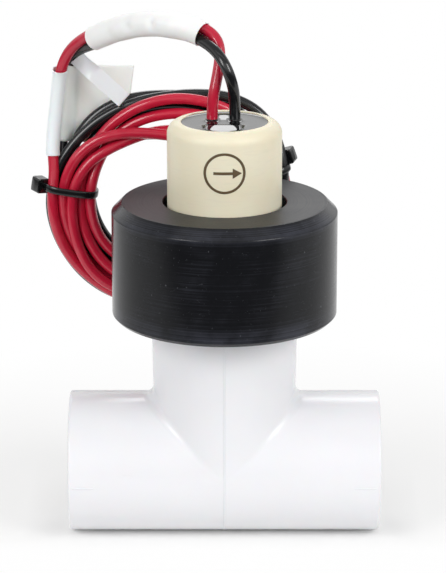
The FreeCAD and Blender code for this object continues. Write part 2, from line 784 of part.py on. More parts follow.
def blade_outline(sketch):
    """A blade between two arcs about one centre, from inside the hub to the tip circle."""
    bend = number("blade_bend")
    middle = FreeCAD.Vector(0, bend, 0)
    root = ring(sketch, "blade_root", construction=True)
    tip = ring(sketch, "impeller_radius", construction=True)
    arcs = []
    for name in ("blade_outside", "blade_inside"):
        radius = number(name)
        angles = []
        for reach in (number("blade_root"), number("impeller_radius")):
            rise = (bend ** 2 + reach ** 2 - radius ** 2) / (2 * bend)
            angles.append(math.atan2(rise - bend, math.sqrt(reach ** 2 - rise ** 2)))
        arc = sketch.addGeometry(Part.ArcOfCircle(Part.Circle(middle, Z_AXIS, radius), *angles))
        tie_point(sketch, arc, 3, None, "blade_bend")
        tie_radius(sketch, arc, name)
        sketch.addConstraint(Sketcher.Constraint("PointOnObject", arc, 1, root))
        sketch.addConstraint(Sketcher.Constraint("PointOnObject", arc, 2, tip))
        arcs.append(arc)
    for point in (1, 2):
        ends = [getattr(sketch.Geometry[arc], "StartPoint" if point == 1 else "EndPoint")
                for arc in arcs]
        edge = sketch.addGeometry(Part.LineSegment(*ends))
        for side, arc in enumerate(arcs, start=1):
            sketch.addConstraint(Sketcher.Constraint("Coincident", edge, side, arc, point))


def make_targets():
    """Metal slugs in two opposite blades, which the pick-up coil senses."""
    slugs = []
    for index, sign in enumerate(("", "-")):
        slug = cylinder(f"Target{index}", "target_radius", "blade_width", ALONG_Y)
        slug.setExpression("Placement.Base.x", cell(sign + "target_reach"))
        slug.setExpression("Placement.Base.y", "-Sizes.blade_width / 2")
        slug.setExpression("Placement.Base.z", f"Sizes.impeller_height + {cell(sign + 'target_rise')}")
        slugs.append(slug)
    keep(group("Targets", *slugs), "blade_targets")


def make_bushes():
    for side, face, turn in (("rear", "bush_face", ALONG_Y), ("front", "-bush_face", UPRIGHT)):
        name = side.title() + "Bush"
        body = new_body(name)
        revolve(body, name + "Blank", [
            ("bush_bore_radius", None), ("bush_flange_radius", None),
            ("bush_flange_radius", "-bush_flange"), ("bush_radius", "-bush_flange"),
            ("bush_radius", "-bush_length"), ("bush_bore_radius", "-bush_length")])
        place(body, y=face, z="impeller_height", turn=turn)
        keep(body, f"impeller_bush_{side}")


def make_shaft():
    shaft = cylinder("Shaft", "shaft_radius", "shaft_length", ALONG_Y,
                     y="-shaft_half", z="impeller_height")
    keep(shaft, "impeller_shaft")
    rear = cylinder("RearPlug", "shaft_radius", "plug_length", ALONG_Y,
                    y="shaft_half", z="impeller_height")
    front = cylinder("FrontPlug", "shaft_radius", "plug_length", UPRIGHT,
                     y="-shaft_half", z="impeller_height")
    keep(group("ShaftPlugs", front, rear), "shaft_plugs")


# Pick-up coil and circuit board

def make_pickup():
    body = new_body("Bobbin")
    revolve(body, "BobbinBlank", [
        ("bobbin_bore_radius", "cavity_floor"), ("bobbin_radius", "cavity_floor"),
        ("bobbin_radius", "spool_bottom"), ("bobbin_core_radius", "spool_bottom"),
        ("bobbin_core_radius", "spool_top"), ("bobbin_radius", "spool_top"),
        ("bobbin_radius", "bobbin_top"), ("bobbin_bore_radius", "bobbin_top")])
    holes = new_sketch(body, "BobbinPinCircles", "XY_Plane")
    holes.setExpression("AttachmentOffset.Base.z", cell("bobbin_pin_bottom"))
    ring(holes, "bobbin_pin_hole_radius", "bobbin_pin_half", "bobbin_pin_row")
    ring(holes, "bobbin_pin_hole_radius", "-bobbin_pin_half", "bobbin_pin_row")
    pocket = body.newObject("PartDesign::Pocket", "BobbinPinHoles")
    pocket.Profile = holes
    pocket.Reversed = True
    bind(pocket, Length="bobbin_pin_length")
    keep(body, "coil_bobbin")
    outer = cylinder("WindingOuter", "winding_radius", "winding_height", z="winding_bottom")
    inner = cylinder("WindingInner", "winding_bore_radius", "winding_height", z="winding_bottom")
    keep(cut("Winding", outer, inner), "sense_coil")
    keep(cylinder("Core", "core_radius_ferrite", "bobbin_height", z="cavity_floor"), "ferrite_core")
    pins = [cylinder(f"BobbinPin{index}", "bobbin_pin_radius", "bobbin_pin_length",
                     x=sign + "bobbin_pin_half", y="bobbin_pin_row", z="bobbin_pin_bottom")
            for index, sign in enumerate(("", "-"))]
    keep(group("BobbinPins", *pins), "bobbin_pins")


def make_board():
    board = block("Board", "board_width", "board_thickness", "board_length",
                  x="-board_half", y="board_front", z="bobbin_top")
    keep(board, "circuit_board")
    chip = block("Chip", "chip_length", "chip_thickness", "chip_width",
                 x="-chip_half", y="chip_front", z="chip_height")
    keep(chip, "signal_chip")
    regulator = block("Regulator", "regulator_length", "regulator_thickness", "regulator_width",
                      x="-regulator_half", y="regulator_front", z="regulator_height")
    keep(regulator, "voltage_regulator")
    capacitor = cylinder("Capacitor", "capacitor_radius", "capacitor_length", UPRIGHT,
                         y="board_front", z="capacitor_height")
    keep(capacitor, "filter_capacitor")
    chips = []
    for index in range(RESISTORS):
        resistor = block(f"Resistor{index}", "resistor_length", "resistor_thickness", "resistor_width",
                         y="resistor_front", z="resistor_height")
        shift = index - (RESISTORS - 1) / 2
        resistor.setExpression("Placement.Base.x",
                               f"Sizes.resistor_pitch * {shift} - Sizes.resistor_length / 2")
        chips.append(resistor)
    keep(group("Resistors", *chips), "chip_resistors")


# Potting and the leads

def make_potting():
    plug = cylinder("PottingPlug", "potting_radius", "potting_depth", z="potting_bottom")
    slot = block("BoardSlot", "board_slot_width", "board_slot_thickness", "board_slot_depth",
                 x="-board_slot_half", y="board_slot_front", z="potting_bottom")
    red = cylinder("RedHole", "lead_hole_radius", "potting_depth",
                   x="-red_exit", y="exit_row", z="potting_bottom")
    black = cylinder("BlackHole", "lead_hole_radius", "potting_depth",
                     x="black_exit", y="exit_row", z="potting_bottom")
    keep(cut("Potting", plug, fuse("PottingHoles", slot, red, black)), "potting")


def make_inner_leads():
    joints = []
    for colour, exit_name in (("red", "-red_exit"), ("black", "black_exit")):
        title = colour.title()
        lead = cylinder(title + "Inner", "lead_radius", "inner_lead_length",
                        x=exit_name, y="exit_row", z="inner_lead_bottom")
        keep(lead, f"inner_lead_{colour}")
        joints.append(cylinder(title + "Solder", "solder_radius", "solder_length",
                               x=exit_name, y="exit_row", z="solder_bottom"))
    keep(group("SolderJoints", *joints), "solder_joints")


def route_edges(points):
    """Straight runs joined by arcs as large as the two runs allow; the radii come back too."""
    spots = [FreeCAD.Vector(*point) for point in points]
    edges = []
    radii = []
    start = spots[0]
    for before, corner, after in zip(spots, spots[1:], spots[2:]):
        back = (before - corner).normalize()
        ahead = (after - corner).normalize()
        reach = ROUTE_ROUNDING * min((before - corner).Length, (after - corner).Length)
        half_turn = (math.pi - back.getAngle(ahead)) / 2
        radius = reach / math.tan(half_turn)
        middle = (back + ahead).normalize()
        centre = corner + middle * (radius / math.cos(half_turn))
        into = corner + back * reach
        out = corner + ahead * reach
        top = centre - middle * radius
        edges.append(Part.LineSegment(start, into).toShape())
        edges.append(Part.Arc(into, top, out).toShape())
        radii.append(radius)
        start = out
    edges.append(Part.LineSegment(start, spots[-1]).toShape())
    return edges, radii


def stretch(edges, start, length):
    """The edges of a route between two distances along it."""
    picked = []
    passed = 0.0
    for edge in edges:
        low = max(start - passed, 0.0)
        high = min(start + length - passed, edge.Length)
        passed += edge.Length
        if high - low < TOUCH:
            continue
        ends = edge.getParameterByLength(low), edge.getParameterByLength(high)
        picked.append(edge.Curve.toShape(*ends))
    return picked


def tube(edges, radius):
    """A solid round tube along edges."""
    path = Part.Wire(edges)
    first = edges[0]
    tangent = first.tangentAt(first.FirstParameter)
    section = Part.Wire(Part.makeCircle(radius, first.valueAt(first.FirstParameter), tangent))
    return path.makePipeShell([section], True, True)


def feature(name, shape):
    thing = doc.addObject("Part::Feature", name)
    thing.Shape = shape
    return thing


def make_leads():
    radius = number("lead_radius")
    for colour, points in (("red", RED_ROUTE), ("black", BLACK_ROUTE)):
        edges, radii = route_edges(points)
        lead = tube(edges, radius)
        length = sum(edge.Length for edge in edges)
        volume = math.pi * radius ** 2 * length
        print(colour, "lead: length", round(length, 1), "volume ratio", round(lead.Volume / volume, 4))
        print("radii", [round(value, 1) for value in radii])
        keep(feature(colour.title() + "Lead", lead), f"{colour}_lead")


def make_coil():
    """The closed shape of the coil: an oval ring that stands behind the collar."""
    walls = []
    for side in ("outer", "inner"):
        oval = bind(doc.addObject("Part::Ellipse", f"Coil{side.title()}Oval"),
                    MajorRadius=f"coil_{side}_half_width", MinorRadius=f"coil_{side}_half_height")
        wall = doc.addObject("Part::Extrusion", f"Coil{side.title()}Wall")
        wall.Base = oval
        wall.DirMode = "Custom"
        wall.Dir = Z_AXIS
        wall.Solid = True
        bind(wall, LengthFwd="coil_depth")
        walls.append(wall)
    blank = cut("CoilBlank", *walls)
    coil = rounded("Coil", blank, "coil_round", is_oval)
    place(coil, "-coil_left", "coil_rear", "coil_rise", UPRIGHT)
    keep(coil, "lead_coil")


def is_oval(edge):
    return edge.Curve.TypeId == "Part::GeomEllipse"


def coil_spot(angle, half_width, half_height):
    """A point of the coil's oval and the direction of the winding there."""
    turn = math.radians(angle)
    spot = FreeCAD.Vector(half_width * math.cos(turn) - number("coil_left"), number("coil_back"),
                          half_height * math.sin(turn) + number("coil_rise"))
    along = FreeCAD.Vector(-half_width * math.sin(turn), 0, half_height * math.cos(turn))
    return spot, along.normalize()


def make_copper_tips():
    """The stripped far ends, which leave the coil behind the collar."""
    half_width = number("coil_outer_half_width")
    half_height = number("coil_outer_half_height")
    for colour, angle in TIP_ANGLES.items():
        spot, along = coil_spot(angle, half_width, half_height)
        tip = cylinder(colour.title() + "Tip", "copper_radius", "tip_length")
        tip.Placement = FreeCAD.Placement(spot - along * number("tip_bite"),
                                          FreeCAD.Rotation(Z_AXIS, along))
        keep(tip, f"{colour}_copper_tip")


# Cable ties, sleeves and tags

def make_ties():
    half_width = (number("coil_outer_half_width") + number("coil_inner_half_width")) / 2
    half_height = (number("coil_outer_half_height") + number("coil_inner_half_height")) / 2
    for side in ("left", "right"):
        title = side.title()
        spot, along = coil_spot(number(f"{side}_tie_angle"), half_width, half_height)
        loop = cut(title + "TieLoop", tie_block(title + "Outer", "outer", "tie_outer_round"),
                   tie_block(title + "Inner", "inner", "coil_round"))
        head = bind(doc.addObject("Part::Box", title + "TieHead"), Length="tie_head_length",
                    Width="tie_head_width", Height="tie_head_height")
        head.setExpression("Placement.Base.x", "Sizes.tie_outer_width / 2 - Sizes.tie_thickness / 2")
        head.setExpression("Placement.Base.y", "-Sizes.tie_head_width / 2")
        head.setExpression("Placement.Base.z", "-Sizes.tie_head_height / 2")
        tie = fuse(title + "Tie", loop, head)
        turn = FreeCAD.Rotation(Y_AXIS.cross(along), Y_AXIS, along, "XYZ")
        tie.Placement = FreeCAD.Placement(spot, turn)
        keep(tie, f"cable_tie_{side}")


def tie_block(name, side, radius):
    """A block with round corners about the tie's own axis."""
    thing = bind(doc.addObject("Part::Box", name + "Block"), Length=f"tie_{side}_width",
                 Width=f"tie_{side}_depth", Height="tie_width")
    thing.setExpression("Placement.Base.x", f"-Sizes.tie_{side}_width / 2")
    thing.setExpression("Placement.Base.y", f"-Sizes.tie_{side}_depth / 2")
    thing.setExpression("Placement.Base.z", "-Sizes.tie_width / 2")
    return rounded(name + "Round", thing, radius, is_upright)


def is_upright(edge):
    return edge.BoundBox.XLength < TOUCH and edge.BoundBox.YLength < TOUCH


def make_sleeves():
    lead = number("lead_radius")
    pairs = list(zip(RED_ROUTE, BLACK_ROUTE))[SLEEVED_POINTS]
    middle = [[(a + b) / 2 for a, b in zip(red, black)] for red, black in pairs]
    spread = max(math.dist(red, black) for red, black in pairs[2:-1]) / 2
    edges = stretch(route_edges(middle)[0], number("sleeve_start"), number("sleeve_length"))
    bore = spread + lead + number("sleeve_play")
    wall = tube(edges, bore + number("sleeve_wall"))
    keep(feature("LeadSleeve", wall.cut(tube(edges, bore))), "lead_sleeve")
    edges = stretch(route_edges(RED_ROUTE)[0], number("marker_start"), number("marker_length"))
    bore = lead + number("marker_play")
    wall = tube(edges, bore + number("marker_wall"))
    keep(feature("MarkerSleeve", wall.cut(tube(edges, bore))), "marker_sleeve")


def make_tags():
    """Blank tags, each folded round the black lead with its sheet on one side."""
    black, _ = route_edges(BLACK_ROUTE)
    tag("FlagTag", "flag_tag", black, "flag_start", "flag_drop", "flag_width", FLAG_TOWARD)
    tag("StripTag", "strip_tag", black, "strip_start", "strip_loop", "strip_length", STRIP_TOWARD)


def tag(name, label, lead, start, loop, reach, toward):
    """A loop of tag round a stretch of a lead, and a flat sheet that goes off from it."""
    edges = stretch(lead, number(start), number(loop))
    bore = number("lead_radius") + number("tag_play")
    thickness = number("tag_thickness")
    wrap = tube(edges, bore + thickness).cut(tube(edges, bore))
    top = edges[0].valueAt(edges[0].FirstParameter)
    foot = edges[-1].valueAt(edges[-1].LastParameter)
    along = (foot - top).normalize()
    outward = (toward - along * toward.dot(along)).normalize()
    rearward = along.cross(outward)
    if rearward.y < 0:
        rearward = rearward * -1
    bulge = max((spot - top).dot(rearward) for spot in Part.Wire(edges).discretize(Number=TAG_SAMPLES))
    back = rearward * (bulge + bore + thickness / 2)
    corners = [top + back, foot + back]
    corners += [foot + back + outward * number(reach), top + back + outward * number(reach)]
    face = Part.Face(Part.makePolygon(corners + corners[:1]))
    sheet_shape = face.extrude(rearward * thickness)
    sheet_shape.translate(rearward * (-thickness / 2))
    keep(feature(name, wrap.fuse(sheet_shape).removeSplitter()), label)


def check_and_write():
    doc.recompute()
    for thing in doc.Objects:
        if "Invalid" in thing.State or "Error" in thing.State:
            raise RuntimeError(f"{thing.Name} failed: {thing.State}")
    for piece in pieces:
        if piece.Shape.isNull() or not piece.Shape.isValid() or not piece.Shape.Solids:
            raise RuntimeError(f"{piece.Label} has no valid solid")
    os.makedirs("parts", exist_ok=True)
    for piece in pieces:
        piece.Shape.exportStep(os.path.join("parts", piece.Label + ".step"))
        print(piece.Label, len(piece.Shape.Solids), round(piece.Shape.Volume, 1))


def main():
    fill_sheet()
    make_tee()
    make_branch_sleeve()
    make_alignment_pin()
    make_collar()
    make_slip_washer()
    make_housing()
    make_seals()
    make_impeller()
    make_targets()
    make_bushes()
    make_shaft()
    make_pickup()
    make_board()
    make_potting()
    make_inner_leads()
    make_leads()
    make_coil()
    make_copper_tips()
    make_ties()
    make_sleeves()
    make_tags()
    check_and_write()


main()
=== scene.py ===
"""Tee flow sensor: leads, ties, sleeves, labels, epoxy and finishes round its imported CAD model."""

import math

import bpy
import numpy as np
from bpy.props import FloatProperty, FloatVectorProperty, IntProperty, PointerProperty
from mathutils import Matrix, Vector


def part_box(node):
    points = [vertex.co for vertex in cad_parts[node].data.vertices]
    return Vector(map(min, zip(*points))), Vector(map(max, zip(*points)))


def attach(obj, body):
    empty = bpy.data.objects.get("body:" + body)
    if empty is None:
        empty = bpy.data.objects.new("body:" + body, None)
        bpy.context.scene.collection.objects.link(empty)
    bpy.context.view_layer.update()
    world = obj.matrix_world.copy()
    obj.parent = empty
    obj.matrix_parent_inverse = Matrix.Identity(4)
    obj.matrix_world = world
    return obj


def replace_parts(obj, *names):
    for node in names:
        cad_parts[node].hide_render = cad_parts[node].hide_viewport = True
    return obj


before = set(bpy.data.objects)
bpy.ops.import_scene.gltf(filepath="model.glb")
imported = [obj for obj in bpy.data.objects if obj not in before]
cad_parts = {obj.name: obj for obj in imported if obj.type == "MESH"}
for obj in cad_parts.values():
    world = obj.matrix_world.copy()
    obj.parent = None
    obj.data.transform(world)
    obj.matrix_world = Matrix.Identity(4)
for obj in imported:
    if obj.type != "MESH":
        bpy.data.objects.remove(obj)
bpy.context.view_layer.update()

bl_info = {
    "name": "Tee flow sensor",
    "version": (1, 0, 0),
    "blender": (4, 5, 0),
    "location": "3D View > Sidebar > Flow tee",
    "description": "Dresses the CAD model of a tee flow sensor with its leads, ties, labels and finishes",
    "category": "Object",
}

MM = 0.001
BODY = "tee_and_sensor"
Y_AXIS = np.array((0.0, 1.0, 0.0))
LEAD_SIDES = 22

# Control points of the two leads from the epoxy over the arch to the coil, in metres.
RED_ROUTE = (
    (-0.0036, 0.0030, 0.1036), (-0.0036, 0.0030, 0.1092), (-0.0022, 0.0038, 0.1158),
    (-0.0011, 0.0070, 0.1219), (-0.0022, 0.0097, 0.1268), (-0.0073, 0.0109, 0.13005),
    (-0.0142, 0.0136, 0.1310), (-0.0224, 0.0186, 0.1306), (-0.0314, 0.0255, 0.1278),
    (-0.0391, 0.0318, 0.1234), (-0.0458, 0.0363, 0.1181), (-0.0493, 0.0390, 0.1109),
    (-0.0504, 0.0403, 0.1023), (-0.0515, 0.0405, 0.0932), (-0.0522, 0.0396, 0.0853),
    (-0.0516, 0.0382, 0.0787),
)
BLACK_ROUTE = (
    (0.0030, 0.0030, 0.1036), (0.0030, 0.0030, 0.1082), (0.0026, 0.0006, 0.1141),
    (0.0003, -0.0004, 0.1208), (-0.0030, 0.0046, 0.1245), (-0.0083, 0.0107, 0.12655),
    (-0.0142, 0.0134, 0.12765), (-0.0220, 0.0184, 0.1273), (-0.0305, 0.0250, 0.1246),
    (-0.0380, 0.0313, 0.1202), (-0.0452, 0.0400, 0.1159), (-0.0479, 0.0434, 0.1082),
    (-0.0486, 0.0444, 0.0995), (-0.0492, 0.0442, 0.0912), (-0.0494, 0.0430, 0.0841),
    (-0.0488, 0.0410, 0.0784),
)

# Where each lead lies in the coil. A turn is given at eleven angles in degrees, from the left tie round the
# bottom, the right tie and the crest to the shoulder: millimetres inside the coil's outer oval, and
# millimetres back. The last turn of each lead stops at its own end.
TURN_ANGLES = (174.0, 205.0, 232.0, 290.0, 382.0, 399.0, 415.0, 447.0, 466.0, 484.0, 505.0)
RED_TURNS = (
    ((1.9, -2.2), (1.9, -1.4), (2.3, -0.6), (4.5, -0.2), (9.0, -1.6),
     (10.3, -1.8), (11.5, -2.0), (13.6, -2.3), (11.4, -2.5), (8.2, -2.6), (5.1, -2.4)),
    ((5.1, -1.4), (4.4, 0.2), (4.5, 1.4), (2.0, 0.5), (0.6, 1.7),
     (0.8, 1.2), (0.9, 0.4), (1.5, -0.8), (3.5, -0.2), (5.7, 0.6), (8.6, 0.8)),
    ((10.7, -0.6), (10.1, -1.6), (7.6, -1.6), (9.5, -1.6), (12.8, -1.6),
     (12.7, -0.7), (12.6, 0.2), (11.9, 0.6), (12.5, 0.2), (12.3, -0.8), (9.3, -1.6)),
    ((8.1, -2.4), (6.5, -2.6), (2.9, -2.9), (6.0, -1.8), (5.3, -1.6),
     (4.9, -1.3), (4.6, -1.0), (6.8, -0.6), (7.8, 0.2), (9.5, 1.0), (11.6, 0.4)),
    ((12.8, -1.8), (12.3, -0.4), (11.8, 0.4), (3.0, 0.2)),
)
BLACK_TURNS = (
    ((4.2, 2.3), (4.4, 2.6), (3.6, 2.6), (5.5, 2.2), (0.4, -1.7),
     (-4.2, 2.1), (-3.4, 2.5), (2.7, 2.4), (2.2, 2.6), (3.2, 2.8), (2.8, 2.6)),
    ((2.0, 1.4), (1.6, 2.6), (0.4, 2.8), (3.0, 2.4), (5.3, 1.6),
     (2.0, 3.0), (-1.0, 4.2), (3.0, 4.2), (1.8, 4.4), (1.6, 4.6), (2.4, 4.2)),
    ((7.3, 1.9), (7.6, 2.2), (7.0, 2.4), (11.5, 2.3), (9.1, 1.6),
     (7.0, 2.3), (5.0, 3.0), (5.4, 2.8), (6.0, 3.0), (6.6, 3.6), (6.2, 3.4)),
    ((10.1, 2.4), (10.7, 2.3), (10.4, 2.6), (2.0, 2.6), (12.8, 1.6),
     (13.2, 2.0), (13.6, 2.4), (14.4, 3.0), (13.5, 3.2), (11.5, 3.4), (11.2, 2.8)),
    ((12.4, 2.2), (12.2, 2.8), (11.6, 3.2)),
)
COIL_START = 180.0
RED_END = 1754.0
BLACK_END = 1728.0

# Materials of the small CAD parts: name, sRGB colour, roughness, for plastics the grain in metres, and the
# parts that have it.
SMALL_PLASTICS = (
    ("white_slip_plastic", "#DDDCD6", 0.40, 0.0006, ("slip_washer",)),
    ("black_seal_rubber", "#1A1A1A", 0.60, 0.0004, ("stem_o_ring_upper", "stem_o_ring_lower")),
    ("blue_grey_impeller_plastic", "#3A4048", 0.42, 0.0006, ("impeller",)),
    ("rear_bush_plastic", "#C9BFA8", 0.40, 0.0005, ("impeller_bush_rear",)),
    ("front_bush_plastic", "#C9BFA8", 0.40, 0.0005, ("impeller_bush_front",)),
    ("natural_bobbin_nylon", "#D8D0B8", 0.45, 0.0005, ("coil_bobbin",)),
    ("grey_ferrite", "#3C3B3A", 0.60, 0.0004, ("ferrite_core",)),
    ("green_laminate", "#1F5A38", 0.35, 0.0005, ("circuit_board",)),
    ("black_chip_plastic", "#1C1C1E", 0.55, 0.0003, ("signal_chip", "voltage_regulator", "chip_resistors")),
)
SMALL_METALS = (
    ("tinned_metal", "#C4C4BE", 0.34, ("bobbin_pins", "solder_joints")),
    ("enamelled_winding", "#A2562F", 0.35, ("sense_coil",)),
    ("aluminium_can", "#B4B6B8", 0.35, ("filter_capacitor",)),
)


def linear(code):
    """A colour written as sRGB hex, turned to linear red, green and blue."""
    parts = [int(code[at:at + 2], 16) / 255 for at in (1, 3, 5)]
    return [part / 12.92 if part <= 0.04045 else ((part + 0.055) / 1.055) ** 2.4 for part in parts]


def size(title, words, default):
    """A length that a user may change."""
    return FloatProperty(name=title, description=words, default=default, unit="LENGTH", precision=4)


def colour(title, words, code):
    """A colour that a user may change, written as sRGB hex."""
    return FloatVectorProperty(name=title, description=words, default=linear(code), subtype="COLOR",
                               size=3, min=0.0, max=1.0)


class LeadSizes(bpy.types.PropertyGroup):
    """The two leads and their coil."""
    diameter: size("Lead diameter", "Outside diameter of each lead's insulation", 0.0033)
    copper: size("Copper diameter", "Diameter of the bare conductor", 0.00102)
    bare: size("Bare length", "Length of bare copper past the insulation", 0.0085)
    coil_x: size("Coil centre X", "Sideways place of the coil's centre", -0.01725)
    coil_y: size("Coil centre Y", "Place of the coil's middle plane behind the sensor", 0.0385)
    coil_z: size("Coil centre Z", "Height of the coil's centre above the run's axis", 0.0696)
    half_width: size("Coil half width", "Half the outside width of the coil", 0.03685)
    half_height: size("Coil half height", "Half the outside height of the coil", 0.03415)
    band: size("Coil band", "Distance from the coil's outside to its inside", 0.0144)
    depth: size("Coil depth", "Depth of the coil from front to back", 0.0082)
    turn_points: IntProperty(name="Points per turn", description="Control points in a turn of the coil",
                             default=24, min=12, max=48)


class FittingSizes(bpy.types.PropertyGroup):
    """Sleeves, labels and ties on the leads."""
    sleeve_radius: size("Arch sleeve radius", "Outside radius of the sleeve over both leads", 0.00368)
    sleeve_wall: size("Arch sleeve wall", "Wall of the sleeve over both leads", 0.00025)
    sleeve_start: size("Arch sleeve start", "Distance along the arch to the sleeve's first end", 0.011)
    sleeve_length: size("Arch sleeve length", "Length of the sleeve over both leads", 0.0408)
    marker_radius: size("Marker radius", "Outside radius of the wire marker on the red lead", 0.00213)
    marker_wall: size("Marker wall", "Wall of the wire marker", 0.00035)
    marker_start: size("Marker start", "Distance along the red lead to the marker's top", 0.0883)
    marker_length: size("Marker length", "Length of the wire marker", 0.0272)
    flag_start: size("Flag start", "Distance along the black lead to the flag label", 0.0871)
    flag_drop: size("Flag height", "Height of the flag label along the lead", 0.0243)
    flag_width: size("Flag width", "Reach of the flag label away from the lead", 0.0200)
    strip_start: size("Strip start", "Distance along the black lead to the strip label", 0.0796)
    strip_loop: size("Strip wrap", "Length of the strip label's wrap along the lead", 0.0066)
    strip_width: size("Strip width", "Width of the strip label beside the lead", 0.0050)
    strip_length: size("Strip length", "Reach of the strip label away from the lead", 0.0202)
    film: size("Label thickness", "Thickness of the label film", 0.0003)
    tie_width: size("Tie width", "Width of a cable tie's band", 0.0022)
    tie_thickness: size("Tie thickness", "Thickness of a cable tie's band", 0.0010)
    tie_head: size("Tie head", "Side of a cable tie's head", 0.0040)
    tie_head_height: size("Tie head height", "Height of a cable tie's head along the leads", 0.0046)


class EpoxySizes(bpy.types.PropertyGroup):
    """The epoxy in the housing's top."""
    wall_climb: size("Climb at the wall", "Height that the epoxy climbs at the housing's wall", 0.00025)
    lead_climb: size("Climb at the leads", "Height of the steep climb at each lead", 0.0006)
    slope: FloatProperty(name="Pad slope", description="Slope of the two set pads of epoxy by the leads",
                         default=0.171)
    hollow: size("Hollow radius", "Radius of the hollow across each pad", 0.0135)
    pad_share: FloatProperty(name="Pad share", description="Share of the pads' height that the mesh has",
                             default=0.2, min=0.0, max=1.0)


class MarkSizes(bpy.types.PropertyGroup):
    """The painted flow mark on the housing's front."""
    outer: size("Ring radius", "Outside radius of the mark's ring", 0.00602)
    line: size("Ring line", "Width of the ring's line", 0.00074)
    arrow: size("Arrow length", "Length of the arrow from tail to tip", 0.00814)
    shaft: size("Arrow shaft", "Height of the arrow's shaft", 0.00084)
    head: size("Arrow head", "Side of the arrow's three-sided head", 0.0030)
    paint: size("Paint thickness", "Thickness of the paint", 0.00012)


class MouldSizes(bpy.types.PropertyGroup):
    """The lines that the mould leaves on the tee."""
    line_width: size("Line width", "Width of a mould line", 0.00046)
    line_height: size("Line height", "Height of a mould line above the surface", 0.00018)
    end_mark: size("End mark length", "Length of the short mark at each end of the run", 0.0068)


class Finishes(bpy.types.PropertyGroup):
    """Colours of the materials."""
    pvc: colour("White PVC", "The tee and the threaded sleeve", "#EAEAED")
    collar: colour("Black collar", "The turned collar nut", "#17181B")
    housing: colour("Cream housing", "The sensor's housing", "#EFE9D4")
    paint: colour("Mark paint", "The paint in the flow mark", "#5E4C33")
    epoxy: colour("Black epoxy", "The fill in the housing's top", "#0A0A0C")
    red: colour("Red insulation", "The red lead", "#C41E3A")
    black: colour("Black insulation", "The black lead", "#17181A")
    nylon: colour("Black nylon", "The cable ties", "#101112")
    sleeve: colour("White sleeve", "The sleeve on the arch", "#FFFBF9")
    marker: colour("Marker film", "The wire marker", "#F9FDFF")
    flag: colour("Flag film", "The flag label", "#FDFFFB")
    strip: colour("Strip film", "The strip label", "#EEF0F4")
    copper: colour("Copper", "Bare conductors and the winding", "#C9825A")
    steel: colour("Steel", "Shaft and pins", "#B9BBBD")


class StageSettings(bpy.types.PropertyGroup):
    """Camera, floor and lights."""
    focal_length: FloatProperty(name="Focal length", default=189.71,
                                description="Lens for a 36 mm tall picture, in millimetres")
    distance: size("Camera distance", "From the camera to the point that it looks at", 0.8872)
    tilt: FloatProperty(name="Camera tilt", description="Angle at which the camera looks down",
                        default=0.297, subtype="ANGLE")
    look_height: size("Look height", "Height of the point that the camera looks at", 0.05413)
    side_step: size("Side step", "Sideways place of the camera", -0.00044)
    floor_side: size("Floor half width", "Reach of the floor to each side", 0.8)
    floor_front: size("Floor front", "Reach of the floor in front of the tee", 0.17)
    floor_back: size("Floor back", "Reach of the floor behind the tee", 1.2)


# Meshes

def built(name, vertices, corners, starts):
    """A smooth mesh from its points, the point at each corner of a face, and each face's first corner."""
    mesh = bpy.data.meshes.new(name)
    mesh.vertices.add(len(vertices))
    mesh.vertices.foreach_set("co", vertices.astype(np.float32).ravel())
    mesh.loops.add(len(corners))
    mesh.loops.foreach_set("vertex_index", corners.astype(np.int32))
    mesh.polygons.add(len(starts))
    mesh.polygons.foreach_set("loop_start", starts.astype(np.int32))
    mesh.update(calc_edges=True)
    mesh.polygons.foreach_set("use_smooth", np.ones(len(starts), bool))
    return mesh


def numbers(items, key, width, kind):
    """A property of all items of a mesh as rows of the given width."""
    flat = np.empty(len(items) * width, kind)
    items.foreach_get(key, flat)
    return flat.reshape(-1, width)


def surface(name, points, round_about=True, ring=False, caps=(False, False), uv=None):
    """A mesh from a grid of points, rows along and columns across.

    round_about joins each row's last point to its first, ring joins the last row to the first, and caps
    close the first and last rows with a fan to their middle. uv gives a pair of coordinates for each
    grid point; its columns and rows run one further where the grid closes. Faces of a closed grid are
    turned so that its volume, the sum of its faces' signed tetrahedra, is positive.
    """
    rows, columns = points.shape[:2]
    along = rows if ring else rows - 1
    across = columns if round_about else columns - 1
    row, column = np.meshgrid(np.arange(along), np.arange(across), indexing="ij")
    row = row.ravel()
    column = column.ravel()
    corner_rows = np.stack((row, row, row + 1, row + 1), 1)
    corner_columns = np.stack((column, column + 1, column + 1, column), 1)
    quads = corner_rows % rows * columns + corner_columns % columns
    vertices = points.reshape(-1, 3)
    fans = []
    for wanted, at in zip(caps, (0, rows - 1)):
        if wanted:
            edge = np.arange(columns) + at * columns
            middle = np.full(columns, len(vertices))
            after = np.roll(edge, -1)
            fans.append(np.stack((middle, after, edge) if at == 0 else (middle, edge, after), 1))
            vertices = np.vstack((vertices, points[at].mean(0)))
    triangles = np.vstack(fans) if fans else np.empty((0, 3), int)
    pieces = np.vstack((quads[:, :3], quads[:, [0, 2, 3]], triangles))
    first, second, third = (vertices[pieces[:, at]] for at in range(3))
    if (round_about or ring) and np.einsum("ij,ij->", first, np.cross(second, third)) < 0:
        quads = quads[:, ::-1]
        corner_rows = corner_rows[:, ::-1]
        corner_columns = corner_columns[:, ::-1]
        triangles = triangles[:, ::-1]
    corners = np.concatenate((quads.ravel(), triangles.ravel()))
    starts = np.concatenate((np.arange(len(quads)) * 4, len(quads) * 4 + np.arange(len(triangles)) * 3))
    mesh = built(name, vertices, corners, starts)
    if uv is not None:
        layer = mesh.uv_layers.new(name="along_and_round")
        flat = np.zeros((len(corners), 2), np.float32)
        flat[:quads.size] = uv[corner_rows.ravel(), corner_columns.ravel()]
        layer.data.foreach_set("uv", flat.ravel())
    return mesh


